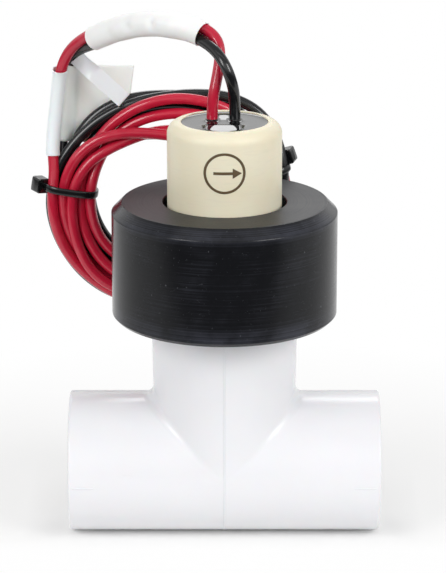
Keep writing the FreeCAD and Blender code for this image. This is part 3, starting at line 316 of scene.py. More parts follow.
def piece(name, mesh, material, sharp=50.0):
    """A finished piece that rides on the tee, sharp-edged where its faces meet at more than an angle."""
    mesh.validate()
    mesh.set_sharp_from_angle(angle=math.radians(sharp))
    mesh.materials.append(material)
    made = bpy.data.objects.new(name, mesh)
    bpy.context.scene.collection.objects.link(made)
    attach(made, BODY)
    return made


def joined(name, meshes):
    """One mesh that holds several, corner by corner."""
    spots = np.empty((0, 3), np.float32)
    corners = np.empty(0, np.int32)
    starts = np.empty(0, np.int32)
    for mesh in meshes:
        starts = np.append(starts, numbers(mesh.polygons, "loop_start", 1, np.int32) + len(corners))
        corners = np.append(corners, numbers(mesh.loops, "vertex_index", 1, np.int32) + len(spots))
        spots = np.vstack((spots, numbers(mesh.vertices, "co", 3, np.float32)))
        bpy.data.meshes.remove(mesh)
    return built(name, spots, corners, starts)


def unit(vectors):
    """Vectors of length one."""
    return vectors / np.linalg.norm(vectors, axis=-1, keepdims=True)


def spline_line(points, steps):
    """Points along a NURBS line that has the given control points."""
    curve = bpy.data.curves.new("line", "CURVE")
    curve.dimensions = "3D"
    curve.resolution_u = steps
    spline = curve.splines.new("NURBS")
    spline.points.add(len(points) - 1)
    weighted = np.hstack((np.asarray(points, float), np.ones((len(points), 1))))
    spline.points.foreach_set("co", weighted.astype(np.float32).ravel())
    spline.order_u = 3
    spline.use_endpoint_u = True
    holder = bpy.data.objects.new("line", curve)
    mesh = bpy.data.meshes.new_from_object(holder)
    line = numbers(mesh.vertices, "co", 3, np.float32).astype(float)
    bpy.data.objects.remove(holder)
    bpy.data.curves.remove(curve)
    bpy.data.meshes.remove(mesh)
    return line


def line_of(name):
    """Centre line of a lead that is already made: the middle of each of its mesh's rings of points."""
    points = numbers(bpy.data.objects[name].data.vertices, "co", 3, np.float32).astype(float)
    rings = len(points) // LEAD_SIDES
    return points[:rings * LEAD_SIDES].reshape(rings, LEAD_SIDES, 3).mean(1)


def distances(line):
    """Distance along a line at each of its points."""
    return np.concatenate(((0.0,), np.cumsum(np.linalg.norm(np.diff(line, axis=0), axis=1))))


def stretch(line, start, length, count):
    """Points at even distances along part of a line."""
    along = distances(line)
    wanted = np.linspace(start, start + length, count)
    return np.stack([np.interp(wanted, along, line[:, axis]) for axis in range(3)], 1)


def frames(line):
    """Two directions across a line at each of its points.

    The first is at right angles to the line and to the front-to-back axis, the second to the line and
    to the first.
    """
    forward = unit(np.gradient(line, axis=0))
    across = unit(np.cross(forward, Y_AXIS))
    return across, np.cross(across, forward)


def tube(line, radius, sides):
    """Rings of points round a line: radius times cosine and sine along its two cross directions.

    radius is one number, or one for each point of the line.
    """
    across, upward = frames(line)
    angle = np.linspace(0.0, 2 * math.pi, sides, endpoint=False)[None, :, None]
    round_it = across[:, None] * np.cos(angle) + upward[:, None] * np.sin(angle)
    return line[:, None] + round_it * np.broadcast_to(radius, (len(line),))[:, None, None]


def tube_uv(line, radius, sides):
    """Distance along a tube and round it, both in metres, at each grid point and once more at its seam."""
    along = distances(line)
    about = np.linspace(0.0, 2 * math.pi * radius, sides + 1)
    return np.stack(np.meshgrid(along, about, indexing="ij"), 2)


# Leads

def planned_turns(turns, start, end, count, leads):
    """Points of a lead in the coil.

    Between the given angles the offsets follow cubics that don't overshoot: the slope at a station is the
    harmonic mean of the slopes on its two sides, or none where they differ in sign. A point lies on the
    coil's outer oval drawn in by the first offset, and behind the coil's middle plane by the second.
    """
    angles = [step + 360.0 * turn for turn, row in enumerate(turns) for step, _ in zip(TURN_ANGLES, row)]
    angles = np.array(angles + [end])
    values = np.array([pair for row in turns for pair in row] + [(0.0, 0.0)]) * MM
    run = np.diff(angles)[:, None]
    rise = np.diff(values, axis=0) / run
    slope = np.zeros_like(values)
    product = rise[1:] * rise[:-1]
    total = rise[1:] + rise[:-1]
    slope[1:-1] = np.where(product > 0, 2 * product / np.where(product > 0, total, 1.0), 0.0)
    theta = np.linspace(start, end, count)
    at = np.clip(np.searchsorted(angles, theta, side="right") - 1, 0, len(run) - 1)
    t = np.clip((theta - angles[at]) / run[at, 0], 0.0, 1.0)[:, None]
    square = t ** 2
    cube = t ** 3
    offset = (2 * cube - 3 * square + 1) * values[at] + (cube - 2 * square + t) * run[at] * slope[at]
    offset = offset + (3 * square - 2 * cube) * values[at + 1]
    offset = offset + (cube - square) * run[at] * slope[at + 1]
    turn = np.radians(theta)
    return np.stack((
        leads.coil_x + (leads.half_width - offset[:, 0]) * np.cos(turn),
        leads.coil_y + offset[:, 1],
        leads.coil_z + (leads.half_height - offset[:, 0]) * np.sin(turn),
    ), 1)


def settled(lines, gap, rounds=150):
    """The strands of a coil, pushed apart in a number of rounds where they press into each other.

    Each round moves every point away from the points of other stretches that are nearer than gap, spreads
    that move along its strand, draws it slightly back to its planned place and evens out the bending.
    Points fewer than own_stretch apart on a strand don't push each other. The first three and last two
    points of each line stay.
    """
    own_stretch = 8
    push_share = 0.35
    spreads = 2
    draw_back = 0.01
    evening = 1 / 32
    points = np.concatenate(lines)
    planned = points.copy()
    owner = np.concatenate([np.full(len(line), number) for number, line in enumerate(lines)])
    order = np.concatenate([np.arange(len(line)) for line in lines])
    near = (owner[:, None] == owner[None]) & (np.abs(order[:, None] - order[None]) < own_stretch)
    free = np.concatenate([np.minimum(np.arange(len(line)) > 2, np.arange(len(line))[::-1] > 1)
                           for line in lines])[:, None].astype(float)
    members = [np.flatnonzero(owner == number) for number in range(len(lines))]
    for _ in range(rounds):
        apart = points[:, None] - points[None]
        reach = np.linalg.norm(apart, axis=2) + 1e-9
        press = np.where(near, 0.0, np.clip(gap - reach, 0.0, None))
        move = np.einsum("ijk,ij->ik", apart, press / reach) * push_share
        for member in members:
            push = move[member]
            for _ in range(spreads):
                push[1:-1] = 0.5 * push[1:-1] + 0.25 * (push[:-2] + push[2:])
            move[member] = push
        points = points + (move + (planned - points) * draw_back) * free
        for member in members:
            strand = points[member]
            bending = strand[:-4] - 4 * strand[1:-3] + 6 * strand[2:-2] - 4 * strand[3:-1] + strand[4:]
            strand[2:-2] -= bending * evening * free[member][2:-2]
            points[member] = strand
    return [points[member] for member in members]


def lead_lines(leads):
    """Centre lines of the red and the black lead, from the epoxy to the end of the insulation.

    Each is one NURBS line whose control points are the route's and the coil's. A spline of second degree
    runs inside its control points on a curve, so the turns' points are drawn outwards to make up for it.
    The strands are settled with fine points a turn, a little further apart than a lead is thick.
    """
    fine = 48
    gap = leads.diameter * 1.006
    steps = 6
    every = fine // leads.turn_points
    centre = np.array((leads.coil_x, leads.coil_y, leads.coil_z))
    outward = 1 / (0.75 + 0.25 * math.cos(2 * math.pi / leads.turn_points))
    swell = np.array((outward, 1.0, outward))
    coils = []
    for turns, end in ((RED_TURNS, RED_END), (BLACK_TURNS, BLACK_END)):
        count = round((end - COIL_START) / 360.0 * fine / every) * every + 1
        coils.append(planned_turns(turns, COIL_START, end, count, leads))
    lines = []
    for route, coil in zip((RED_ROUTE, BLACK_ROUTE), settled(coils, gap)):
        coil = centre + (coil[::every] - centre) * swell
        lines.append(spline_line(np.vstack((route, coil)), steps))
    return lines


def blunt(line, radius, lip):
    """Radii along a line that draw in at both ends over a short lip, as a quarter circle does."""
    along = distances(line)
    from_end = np.minimum(along, along[-1] - along)
    drawn = np.clip(1 - from_end / lip, 0.0, 1.0)
    return radius - lip * (1 - np.sqrt(1 - drawn ** 2))


def with_lip(line, lip):
    """A line with more points near its ends, so that a rounded end shows."""
    rings = 5
    along = distances(line)
    first = stretch(line, 0.0, lip, rings)
    last = stretch(line, along[-1] - lip, lip, rings)
    inner = line[(along > lip) & (along < along[-1] - lip)]
    return np.vstack((first, inner, last))


def tie_frame(angle, leads):
    """Middle of the coil's band at an angle, and the outward, backward and lengthwise directions there."""
    turn = math.radians(angle)
    wide = leads.half_width - leads.band / 2
    tall = leads.half_height - leads.band / 2
    spot = np.array((leads.coil_x + wide * math.cos(turn), leads.coil_y,
                     leads.coil_z + tall * math.sin(turn)))
    along = unit(np.array((-wide * math.sin(turn), 0.0, tall * math.cos(turn))))
    return spot, np.cross(Y_AXIS, along), Y_AXIS, along


def rounded_oblong(half_x, half_y, power, count):
    """Points of an oblong with round corners: cosine and sine to a power, each with its own half side."""
    angle = np.linspace(0.0, 2 * math.pi, count, endpoint=False)
    c = np.cos(angle)
    s = np.sin(angle)
    return np.stack((half_x * np.sign(c) * np.abs(c) ** (2 / power),
                     half_y * np.sign(s) * np.abs(s) ** (2 / power)), 1)


# Materials

# Sockets of a colour mix by number, because it shares their names with other kinds of mix
FACTOR = 0
FIRST = 6
SECOND = 7


def add(tree, kind, sockets, **settings):
    """Adds a shader node, sets its properties, and fills its sockets with values or links.

    A node that is given for a socket links the first of its outputs that is in use.
    """
    made = tree.nodes.new("ShaderNode" + kind)
    for key, value in settings.items():
        setattr(made, key, value)
    for key, value in sockets.items():
        if isinstance(value, bpy.types.Node):
            value = next(output for output in value.outputs if output.enabled)
        if isinstance(value, bpy.types.NodeSocket):
            tree.links.new(value, made.inputs[key])
        else:
            made.inputs[key].default_value = value
    return made


def material_tree(name, coordinates="Object"):
    """A new material, its node tree, and the coordinates that its patterns read."""
    made = bpy.data.materials.new(name)
    made.use_nodes = True
    tree = made.node_tree
    tree.nodes.clear()
    return made, tree, add(tree, "TexCoord", {}).outputs[coordinates]


def shade(rgb, factor):
    """A colour made lighter or darker, with its alpha."""
    return (*(min(1.0, part * factor) for part in rgb), 1.0)


def seen_directly(tree):
    """One for rays from the camera, from a reflection or through glass, and none for scattered light."""
    rays = add(tree, "LightPath", {}).outputs
    mirrored = add(tree, "Math", {0: rays["Is Glossy Ray"], 1: rays["Is Transmission Ray"]},
                   operation="MAXIMUM")
    return add(tree, "Math", {0: rays["Is Camera Ray"], 1: mirrored}, operation="MAXIMUM")


def moulded_white_pvc(rgb):
    # Injection moulded PVC: cool near white, half gloss, with faint flow clouds and grey handling scuffs.
    made, tree, place = material_tree("moulded_white_pvc")
    clouds = add(tree, "TexNoise", {"Vector": place, "Scale": 1 / 0.022, "Detail": 2.0})
    tone = add(tree, "Mix", {FACTOR: clouds, FIRST: shade(rgb, 0.965), SECOND: shade(rgb, 1.02)},
               data_type="RGBA")
    lean = add(tree, "Mapping", {"Vector": place, "Rotation": (0.3, 0.5, 0.2), "Scale": (1.0, 3.0, 6.0)})
    rubs = add(tree, "TexNoise", {"Vector": lean, "Scale": 1 / 0.008, "Detail": 6.0, "Roughness": 0.7})
    scuff = add(tree, "MapRange", {"Value": rubs, "From Min": 0.66, "From Max": 0.78, "To Max": 0.16})
    worn = add(tree, "Mix", {FACTOR: scuff, FIRST: tone, SECOND: shade(rgb, 0.72)}, data_type="RGBA")
    peel = add(tree, "TexNoise", {"Vector": place, "Scale": 1 / 0.0014, "Detail": 1.0})
    gloss = add(tree, "MapRange", {"Value": clouds, "To Min": 0.23, "To Max": 0.27})
    relief = add(tree, "Bump", {"Strength": 0.12, "Distance": 0.00004, "Height": peel})
    shader = add(tree, "BsdfPrincipled", {
        "Base Color": worn, "Roughness": gloss, "IOR": 1.53, "Specular IOR Level": 0.38,
        "Normal": relief, "Subsurface Weight": 0.08, "Subsurface Scale": 0.002})
    add(tree, "OutputMaterial", {"Surface": shader})
    return made


def turned_black_acetal(rgb, sheen_levels):
    # Black acetal turned on a lathe: fine rings round its axis on the side, the bevels and the duller top,
    # which break up along their length and are painted a lighter blue-grey as a painted sheen, painted
    # highlights in blue-grey bands along the top chamfer and the bottom bevel, and pale nicks.
    made, tree, place = material_tree("turned_black_acetal")
    flat = add(tree, "Mapping", {"Vector": place, "Scale": (1.0, 1.0, 0.0)})
    radius = add(tree, "VectorMath", {0: flat}, operation="LENGTH")
    apart = add(tree, "SeparateXYZ", {0: place})
    profile = add(tree, "Math", {0: apart.outputs["Z"], 1: radius}, operation="SUBTRACT")
    rings = add(tree, "TexNoise", {"W": profile, "Scale": 1 / 0.0007, "Detail": 4.0, "Roughness": 0.75},
                noise_dimensions="1D")
    patches = add(tree, "TexNoise", {"Vector": place, "Scale": 1 / 0.010, "Detail": 4.0})
    broken = add(tree, "Math", {0: rings, 1: patches}, operation="MULTIPLY")
    # Painted sheen: the broken rings are painted a lighter blue-grey, standing in for the light they catch.
    painted_sheen = add(tree, "MapRange", {"Value": broken, "From Min": 0.25, "From Max": 0.46, "To Max": 0.26})
    # Painted highlights: a lighter blue-grey band round each given level, at the top chamfer and the bottom
    # bevel, broken up by the rings.
    for level, reach, most in sheen_levels:
        off = add(tree, "Math", {0: apart.outputs["Z"], 1: level}, operation="SUBTRACT")
        near = add(tree, "Math", {0: off}, operation="ABSOLUTE")
        band = add(tree, "MapRange", {"Value": near, "From Min": 0.0, "From Max": reach, "To Min": most,
                                      "To Max": 0.0}, interpolation_type="SMOOTHSTEP")
        rubbed = add(tree, "MapRange", {"Value": broken, "From Min": 0.16, "From Max": 0.36})
        here = add(tree, "Math", {0: band, 1: rubbed}, operation="MULTIPLY")
        painted_sheen = add(tree, "Math", {0: painted_sheen, 1: here}, operation="MAXIMUM")
    # The colour goes from the acetal's black to a lighter blue-grey where the painted sheen and painted
    # highlights fall.
    tone = add(tree, "Mix", {FACTOR: painted_sheen, FIRST: shade(rgb, 0.85), SECOND: (0.055, 0.058, 0.075, 1.0)},
               data_type="RGBA")
    spots = add(tree, "TexNoise", {"Vector": place, "Scale": 1 / 0.0010, "Detail": 5.0, "Roughness": 0.8})
    nick = add(tree, "MapRange", {"Value": spots, "From Min": 0.64, "From Max": 0.71, "To Max": 0.5})
    nicked = add(tree, "Mix", {FACTOR: nick, FIRST: tone, SECOND: (0.20, 0.21, 0.23, 1.0)},
                 data_type="RGBA")
    facing = add(tree, "SeparateXYZ", {0: add(tree, "NewGeometry", {}).outputs["Normal"]})
    dull = add(tree, "MapRange", {"Value": facing.outputs["Z"], "From Min": 0.75, "From Max": 0.98,
                                  "To Max": 0.18})
    gloss = add(tree, "MapRange", {"Value": broken, "From Min": 0.15, "From Max": 0.45, "To Min": 0.15,
                                   "To Max": 0.27})
    rough = add(tree, "Math", {0: gloss, 1: dull}, operation="ADD")
    relief = add(tree, "Bump", {"Strength": 0.4, "Distance": 0.00006, "Height": rings})
    shader = add(tree, "BsdfPrincipled", {
        "Base Color": nicked, "Roughness": rough, "IOR": 1.48, "Specular IOR Level": 0.23,
        "Normal": relief})
    add(tree, "OutputMaterial", {"Surface": shader})
    return made


def cream_moulded_abs(rgb):
    # Moulded ABS skimmed on a lathe: warm cream and satin, yellower in clouds, with faint tool lines.
    made, tree, place = material_tree("cream_moulded_abs")
    clouds = add(tree, "TexNoise", {"Vector": place, "Scale": 1 / 0.009, "Detail": 4.0})
    yellow = (rgb[0], rgb[1] * 0.965, rgb[2] * 0.86, 1.0)
    tone = add(tree, "Mix", {FACTOR: clouds, FIRST: shade(rgb, 1.03), SECOND: yellow}, data_type="RGBA")
    long = add(tree, "Mapping", {"Vector": place, "Scale": (0.12, 0.12, 1.0)})
    lines = add(tree, "TexNoise", {"Vector": long, "Scale": 1 / 0.0006, "Detail": 3.0})
    grime = add(tree, "MapRange", {"Value": lines, "From Min": 0.55, "From Max": 0.8, "To Max": 0.22})
    toned = add(tree, "Mix", {FACTOR: grime, FIRST: tone, SECOND: shade(rgb, 0.82)}, data_type="RGBA")
    gloss = add(tree, "MapRange", {"Value": clouds, "To Min": 0.34, "To Max": 0.50})
    relief = add(tree, "Bump", {"Strength": 0.15, "Distance": 0.00004, "Height": lines})
    shader = add(tree, "BsdfPrincipled", {
        "Base Color": toned, "Roughness": gloss, "IOR": 1.53, "Specular IOR Level": 0.3,
        "Normal": relief, "Subsurface Weight": 0.1, "Subsurface Scale": 0.0015})
    add(tree, "OutputMaterial", {"Surface": shader})
    return made


def black_potting_epoxy(rgb):
    # Poured epoxy: a black mirror with slow waves from setting, and a little dust. Where it set unevenly by
    # the leads, the mesh's own pad_height tilts the mirror further than the mesh does.
    made, tree, place = material_tree("black_potting_epoxy")
    waves = add(tree, "TexNoise", {"Vector": place, "Scale": 1 / 0.006, "Detail": 1.0})
    dust = add(tree, "TexNoise", {"Vector": place, "Scale": 1 / 0.0005, "Detail": 3.0})
    speck = add(tree, "MapRange", {"Value": dust, "From Min": 0.72, "From Max": 0.8, "To Max": 0.3})
    tone = add(tree, "Mix", {FACTOR: speck, FIRST: shade(rgb, 1.0), SECOND: (0.25, 0.25, 0.26, 1.0)},
               data_type="RGBA")
    gloss = add(tree, "MapRange", {"Value": dust, "To Min": 0.03, "To Max": 0.12})
    pads = add(tree, "Attribute", {}, attribute_name="pad_height")
    tilt = add(tree, "Bump", {"Strength": 1.0, "Distance": 1.0, "Height": pads.outputs["Fac"]})
    relief = add(tree, "Bump", {"Strength": 0.1, "Distance": 0.0002, "Height": waves, "Normal": tilt})
    shader = add(tree, "BsdfPrincipled", {
        "Base Color": tone, "Roughness": gloss, "IOR": 1.56, "Normal": relief})
    add(tree, "OutputMaterial", {"Surface": shader})
    return made


def extruded_insulation(name, rgb, lift):
    # Extruded PVC insulation: half gloss with fine drawn lines along the lead, slight clouds in its colour
    # and rubbed patches, paler by lift. It reads the distance along the lead and round it, in metres.
    made, tree, place = material_tree(name, "UV")
    drawn = add(tree, "Mapping", {"Vector": place, "Scale": (0.012, 1.0, 1.0)})
    lines = add(tree, "TexNoise", {"Vector": drawn, "Scale": 1 / 0.00035, "Detail": 3.0},
                noise_dimensions="2D")
    patches = add(tree, "TexNoise", {"Vector": place, "Scale": 1 / 0.007, "Detail": 3.0},
                  noise_dimensions="2D")
    tone = add(tree, "Mix", {FACTOR: patches, FIRST: shade(rgb, 0.86), SECOND: shade(rgb, 1.1)},
               data_type="RGBA")
    rub = add(tree, "MapRange", {"Value": patches, "From Min": 0.55, "From Max": 0.8, "To Max": lift})
    rubbed = (*(part * 0.7 + 0.16 for part in rgb), 1.0)
    worn = add(tree, "Mix", {FACTOR: rub, FIRST: tone, SECOND: rubbed}, data_type="RGBA")
    gloss = add(tree, "MapRange", {"Value": patches, "To Min": 0.09, "To Max": 0.22})
    relief = add(tree, "Bump", {"Strength": 0.2, "Distance": 0.00003, "Height": lines})
    shader = add(tree, "BsdfPrincipled", {
        "Base Color": worn, "Roughness": gloss, "IOR": 1.53, "Normal": relief})
    add(tree, "OutputMaterial", {"Surface": shader})
    return made


def plain_plastic(name, rgb, rough, grain):
    # Moulded plastic of the small parts: even colour with slight clouds and a fine spark grain.
    made, tree, place = material_tree(name)
    clouds = add(tree, "TexNoise", {"Vector": place, "Scale": 1 / 0.006, "Detail": 3.0})
    tone = add(tree, "Mix", {FACTOR: clouds, FIRST: shade(rgb, 0.88), SECOND: shade(rgb, 1.1)},
               data_type="RGBA")
    sparks = add(tree, "TexNoise", {"Vector": place, "Scale": 1 / grain, "Detail": 2.0})
    gloss = add(tree, "MapRange", {"Value": clouds, "To Min": rough - 0.08, "To Max": rough + 0.1})
    relief = add(tree, "Bump", {"Strength": 0.15, "Distance": 0.00003, "Height": sparks})
    shader = add(tree, "BsdfPrincipled", {
        "Base Color": tone, "Roughness": gloss, "IOR": 1.5, "Normal": relief})
    add(tree, "OutputMaterial", {"Surface": shader})
    return made


def drawn_metal(name, rgb, rough):
    # Drawn or tinned metal: bright, with a fine grain and a slightly uneven polish.
    made, tree, place = material_tree(name)
    polish = add(tree, "TexNoise", {"Vector": place, "Scale": 1 / 0.002, "Detail": 4.0})
    tone = add(tree, "Mix", {FACTOR: polish, FIRST: shade(rgb, 0.8), SECOND: shade(rgb, 1.05)},
               data_type="RGBA")
    gloss = add(tree, "MapRange", {"Value": polish, "To Min": rough - 0.1, "To Max": rough + 0.12})
    fine = add(tree, "TexNoise", {"Vector": place, "Scale": 1 / 0.0003, "Detail": 2.0})
    relief = add(tree, "Bump", {"Strength": 0.15, "Distance": 0.00002, "Height": fine})
    shader = add(tree, "BsdfPrincipled", {
        "Base Color": tone, "Metallic": 1.0, "Roughness": gloss, "Normal": relief})
    add(tree, "OutputMaterial", {"Surface": shader})
    return made


def label_film(name, rgb, rough, smudge):
    # Printable polyester film: smooth and flat white, with faint smudges and slow ripples.
    made, tree, place = material_tree(name)
    smudges = add(tree, "TexNoise", {"Vector": place, "Scale": 1 / 0.006, "Detail": 3.0})
    dirt = add(tree, "MapRange", {"Value": smudges, "From Min": 0.5, "From Max": 0.8, "To Max": smudge})
    tone = add(tree, "Mix", {FACTOR: dirt, FIRST: shade(rgb, 1.0), SECOND: shade(rgb, 0.7)},
               data_type="RGBA")
    ripples = add(tree, "TexNoise", {"Vector": place, "Scale": 1 / 0.004, "Detail": 1.0})
    gloss = add(tree, "MapRange", {"Value": smudges, "To Min": rough - 0.06, "To Max": rough + 0.12})
    relief = add(tree, "Bump", {"Strength": 0.12, "Distance": 0.0002, "Height": ripples})
    shader = add(tree, "BsdfPrincipled", {
        "Base Color": tone, "Roughness": gloss, "IOR": 1.5,
        "Normal": relief, "Subsurface Weight": 0.15, "Subsurface Scale": 0.001})
    add(tree, "OutputMaterial", {"Surface": shader})
    return made


class FLOWTEE_OT_stage(bpy.types.Operator):
    """Makes the camera, the floor, the lights and the white surroundings"""
    bl_idname = "flowtee.stage"
    bl_label = "Stage"

    def execute(self, context):
        scene = context.scene
        stage = scene.flowtee_stage
        scene.view_settings.view_transform = "Standard"
        camera = bpy.data.cameras.new("camera")
        camera.sensor_width = 36.0
        camera.lens = stage.focal_length
        camera.clip_start = 0.01
        holder = bpy.data.objects.new("camera", camera)
        holder.location = (stage.side_step, -stage.distance * math.cos(stage.tilt),
                           stage.look_height + stage.distance * math.sin(stage.tilt))
        holder.rotation_euler = (math.pi / 2 - stage.tilt, 0.0, 0.0)
        scene.collection.objects.link(holder)
        scene.camera = holder
        self.make_floor(scene, stage)
        self.make_lights(scene)
        self.make_world(scene)
        return {"FINISHED"}

    def make_floor(self, scene, stage):
        """A white table under the tee.

        The camera and reflections see it fade to plain white with distance; near the tee it keeps shadows.
        """
        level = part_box("tee_body")[0].z
        steps = 9
        across, along = np.meshgrid(np.linspace(-stage.floor_side, stage.floor_side, steps),
                                    np.linspace(-stage.floor_front, stage.floor_back, steps), indexing="ij")
        grid = np.stack((across, along, np.full_like(across, level)), 2)
        mesh = surface("floor", grid, round_about=False)
        mesh.flip_normals()
        made, tree, place = material_tree("white_paper_sweep")
        seen = seen_directly(tree)
        away = add(tree, "VectorMath", {0: place}, operation="LENGTH")
        edge = add(tree, "MapRange", {"Value": away, "From Min": 0.035, "From Max": 0.075, "To Min": 0.0,
                                      "To Max": 0.50}, interpolation_type="SMOOTHSTEP")
        far = add(tree, "MapRange", {"Value": away, "From Min": 0.075, "From Max": 0.18, "To Max": 0.50})
        fade = add(tree, "Math", {0: edge, 1: far}, operation="ADD")
        apart = add(tree, "SeparateXYZ", {0: place})
        before = add(tree, "MapRange", {"Value": apart.outputs["Y"], "From Min": -0.022,
                                        "From Max": -0.002, "To Min": 0.95, "To Max": 0.0},
                     interpolation_type="SMOOTHSTEP")
        side = add(tree, "Math", {0: apart.outputs["X"]}, operation="ABSOLUTE")
        beside = add(tree, "MapRange", {"Value": side, "From Min": 0.044, "From Max": 0.060,
                                        "To Max": 0.55})
        open_floor = add(tree, "Math", {0: before, 1: beside}, operation="MAXIMUM")
        paler = add(tree, "Math", {0: fade, 1: open_floor}, operation="MAXIMUM")
        lifted = add(tree, "Math", {0: seen, 1: paler}, operation="MULTIPLY")
        paper = add(tree, "BsdfDiffuse", {"Color": (0.92, 0.92, 0.91, 1.0)})
        glow = add(tree, "Emission", {"Color": (1.0, 1.0, 1.0, 1.0), "Strength": 1.0})
        lift = add(tree, "MixShader", {0: lifted, 1: paper, 2: glow})
        add(tree, "OutputMaterial", {"Surface": lift})
        mesh.materials.append(made)
        floor = bpy.data.objects.new("floor", mesh)
        scene.collection.objects.link(floor)

    def make_lights(self, scene):
        """Soft boxes at the left and right front, a strip overhead, and a panel and a small box behind."""
        for name, place, aim, width, height, power in (
                ("front_left_box", (-0.75, -0.80, 0.62), (0.0, 0.0, 0.04), 0.5, 0.7, 6.6),
                ("front_right_box", (0.80, -0.75, 0.62), (0.0, 0.0, 0.04), 0.5, 0.7, 7.6),
                ("top_strip", (0.0, -0.15, 1.0), (0.0, 0.0, 0.08), 1.2, 0.18, 0.6),
                ("back_panel", (0.0, 1.1, 0.42), (0.0, 0.0, 0.08), 2.2, 0.9, 1.3),
                ("back_box", (-0.03, 0.62, 0.56), (0.0, 0.0, 0.103), 0.55, 0.18, 1.3)):
            lamp = bpy.data.lights.new(name, "AREA")
            lamp.shape = "RECTANGLE"
            lamp.size = width
            lamp.size_y = height
            lamp.energy = power
            holder = bpy.data.objects.new(name, lamp)
            holder.visible_camera = False
            holder.location = place
            toward = Vector(aim) - Vector(place)
            holder.rotation_euler = toward.to_track_quat("-Z", "Y").to_euler()
            scene.collection.objects.link(holder)

    def make_world(self, scene):
        """White to the camera, white walls to reflections, and a grey room, dark below, to the rest."""
        world = bpy.data.worlds.new("white_room")
        scene.world = world
        world.use_nodes = True
        tree = world.node_tree
        tree.nodes.clear()
        way = add(tree, "TexCoord", {})
        apart = add(tree, "SeparateXYZ", {0: way.outputs["Generated"]})
        height = add(tree, "MapRange", {"Value": apart.outputs["Z"], "From Min": -0.12, "From Max": 0.05,
                                        "To Min": 0.06, "To Max": 0.42})
        above = add(tree, "MapRange", {"Value": apart.outputs["Z"], "From Min": 0.0, "From Max": 0.2})
        ceiling = add(tree, "MapRange", {"Value": apart.outputs["Z"], "From Min": 0.4, "From Max": 0.8,
                                         "To Min": 1.0, "To Max": 0.0})
        walls = add(tree, "Math", {0: above, 1: ceiling}, operation="MULTIPLY")
        rays = add(tree, "LightPath", {})
        shown = add(tree, "Math", {0: seen_directly(tree), 1: walls}, operation="MULTIPLY")
        whiteness = add(tree, "Math", {0: shown, 1: rays.outputs["Is Camera Ray"]}, operation="MAXIMUM")
        room = add(tree, "Background", {"Color": (0.99, 0.99, 1.0, 1.0), "Strength": height})
        white = add(tree, "Background", {"Color": (1.0, 1.0, 1.0, 1.0), "Strength": 1.0})
        both = add(tree, "MixShader", {0: whiteness, 1: room, 2: white})
        add(tree, "OutputWorld", {"Surface": both})


class FLOWTEE_OT_leads(bpy.types.Operator):
    """Makes the red and black leads with their coil and their bare copper ends"""
    bl_idname = "flowtee.leads"
    bl_label = "Leads"

    def execute(self, context):
        leads = context.scene.flowtee_leads
        finishes = context.scene.flowtee_finishes
        red_line, black_line = lead_lines(leads)
        red_coat = extruded_insulation("red_pvc_insulation", finishes.red, lift=0.14)
        black_coat = extruded_insulation("black_pvc_insulation", finishes.black, lift=0.12)
        copper = drawn_metal("bare_copper", finishes.copper, rough=0.3)
        red = self.lead("red_lead_run", red_line, leads, red_coat, "red_insulation")
        black = self.lead("black_lead_run", black_line, leads, black_coat, "black_insulation")
        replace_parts(red, "red_lead", "lead_coil")
        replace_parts(black, "black_lead")
        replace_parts(self.tip("red_bare_end", red_line, leads, copper), "red_copper_tip")
        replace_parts(self.tip("black_bare_end", black_line, leads, copper), "black_copper_tip")
        return {"FINISHED"}

    def lead(self, name, line, leads, material, slot):
        """A round lead along its line, its two ends slightly rounded."""
        lip = 0.0002
        radius = leads.diameter / 2
        course = with_lip(line, lip)
        mesh = surface(name, tube(course, blunt(course, radius, lip), LEAD_SIDES), caps=(True, True),
                       uv=tube_uv(course, radius, LEAD_SIDES))
        return piece(name, mesh, material)

    def tip(self, name, line, leads, material):
        """The bare conductor: a round rod straight on from the lead's end, its far end drawn in where cut.

        There the radius falls in a straight line, by all of itself over the length taper, and stops at
        the share cut_end.
        """
        inside = 0.0015
        taper = 0.0007
        cut_end = 0.35
        forward = unit(line[-1] - line[-3])
        reach = np.linspace(-inside, leads.bare, 40)
        course = line[-1] + forward * reach[:, None]
        radius = leads.copper / 2 * np.clip((leads.bare - reach) / taper + cut_end, 0.0, 1.0)
        mesh = surface(name, tube(course, radius, 18), caps=(True, True))
        return piece(name, mesh, material)


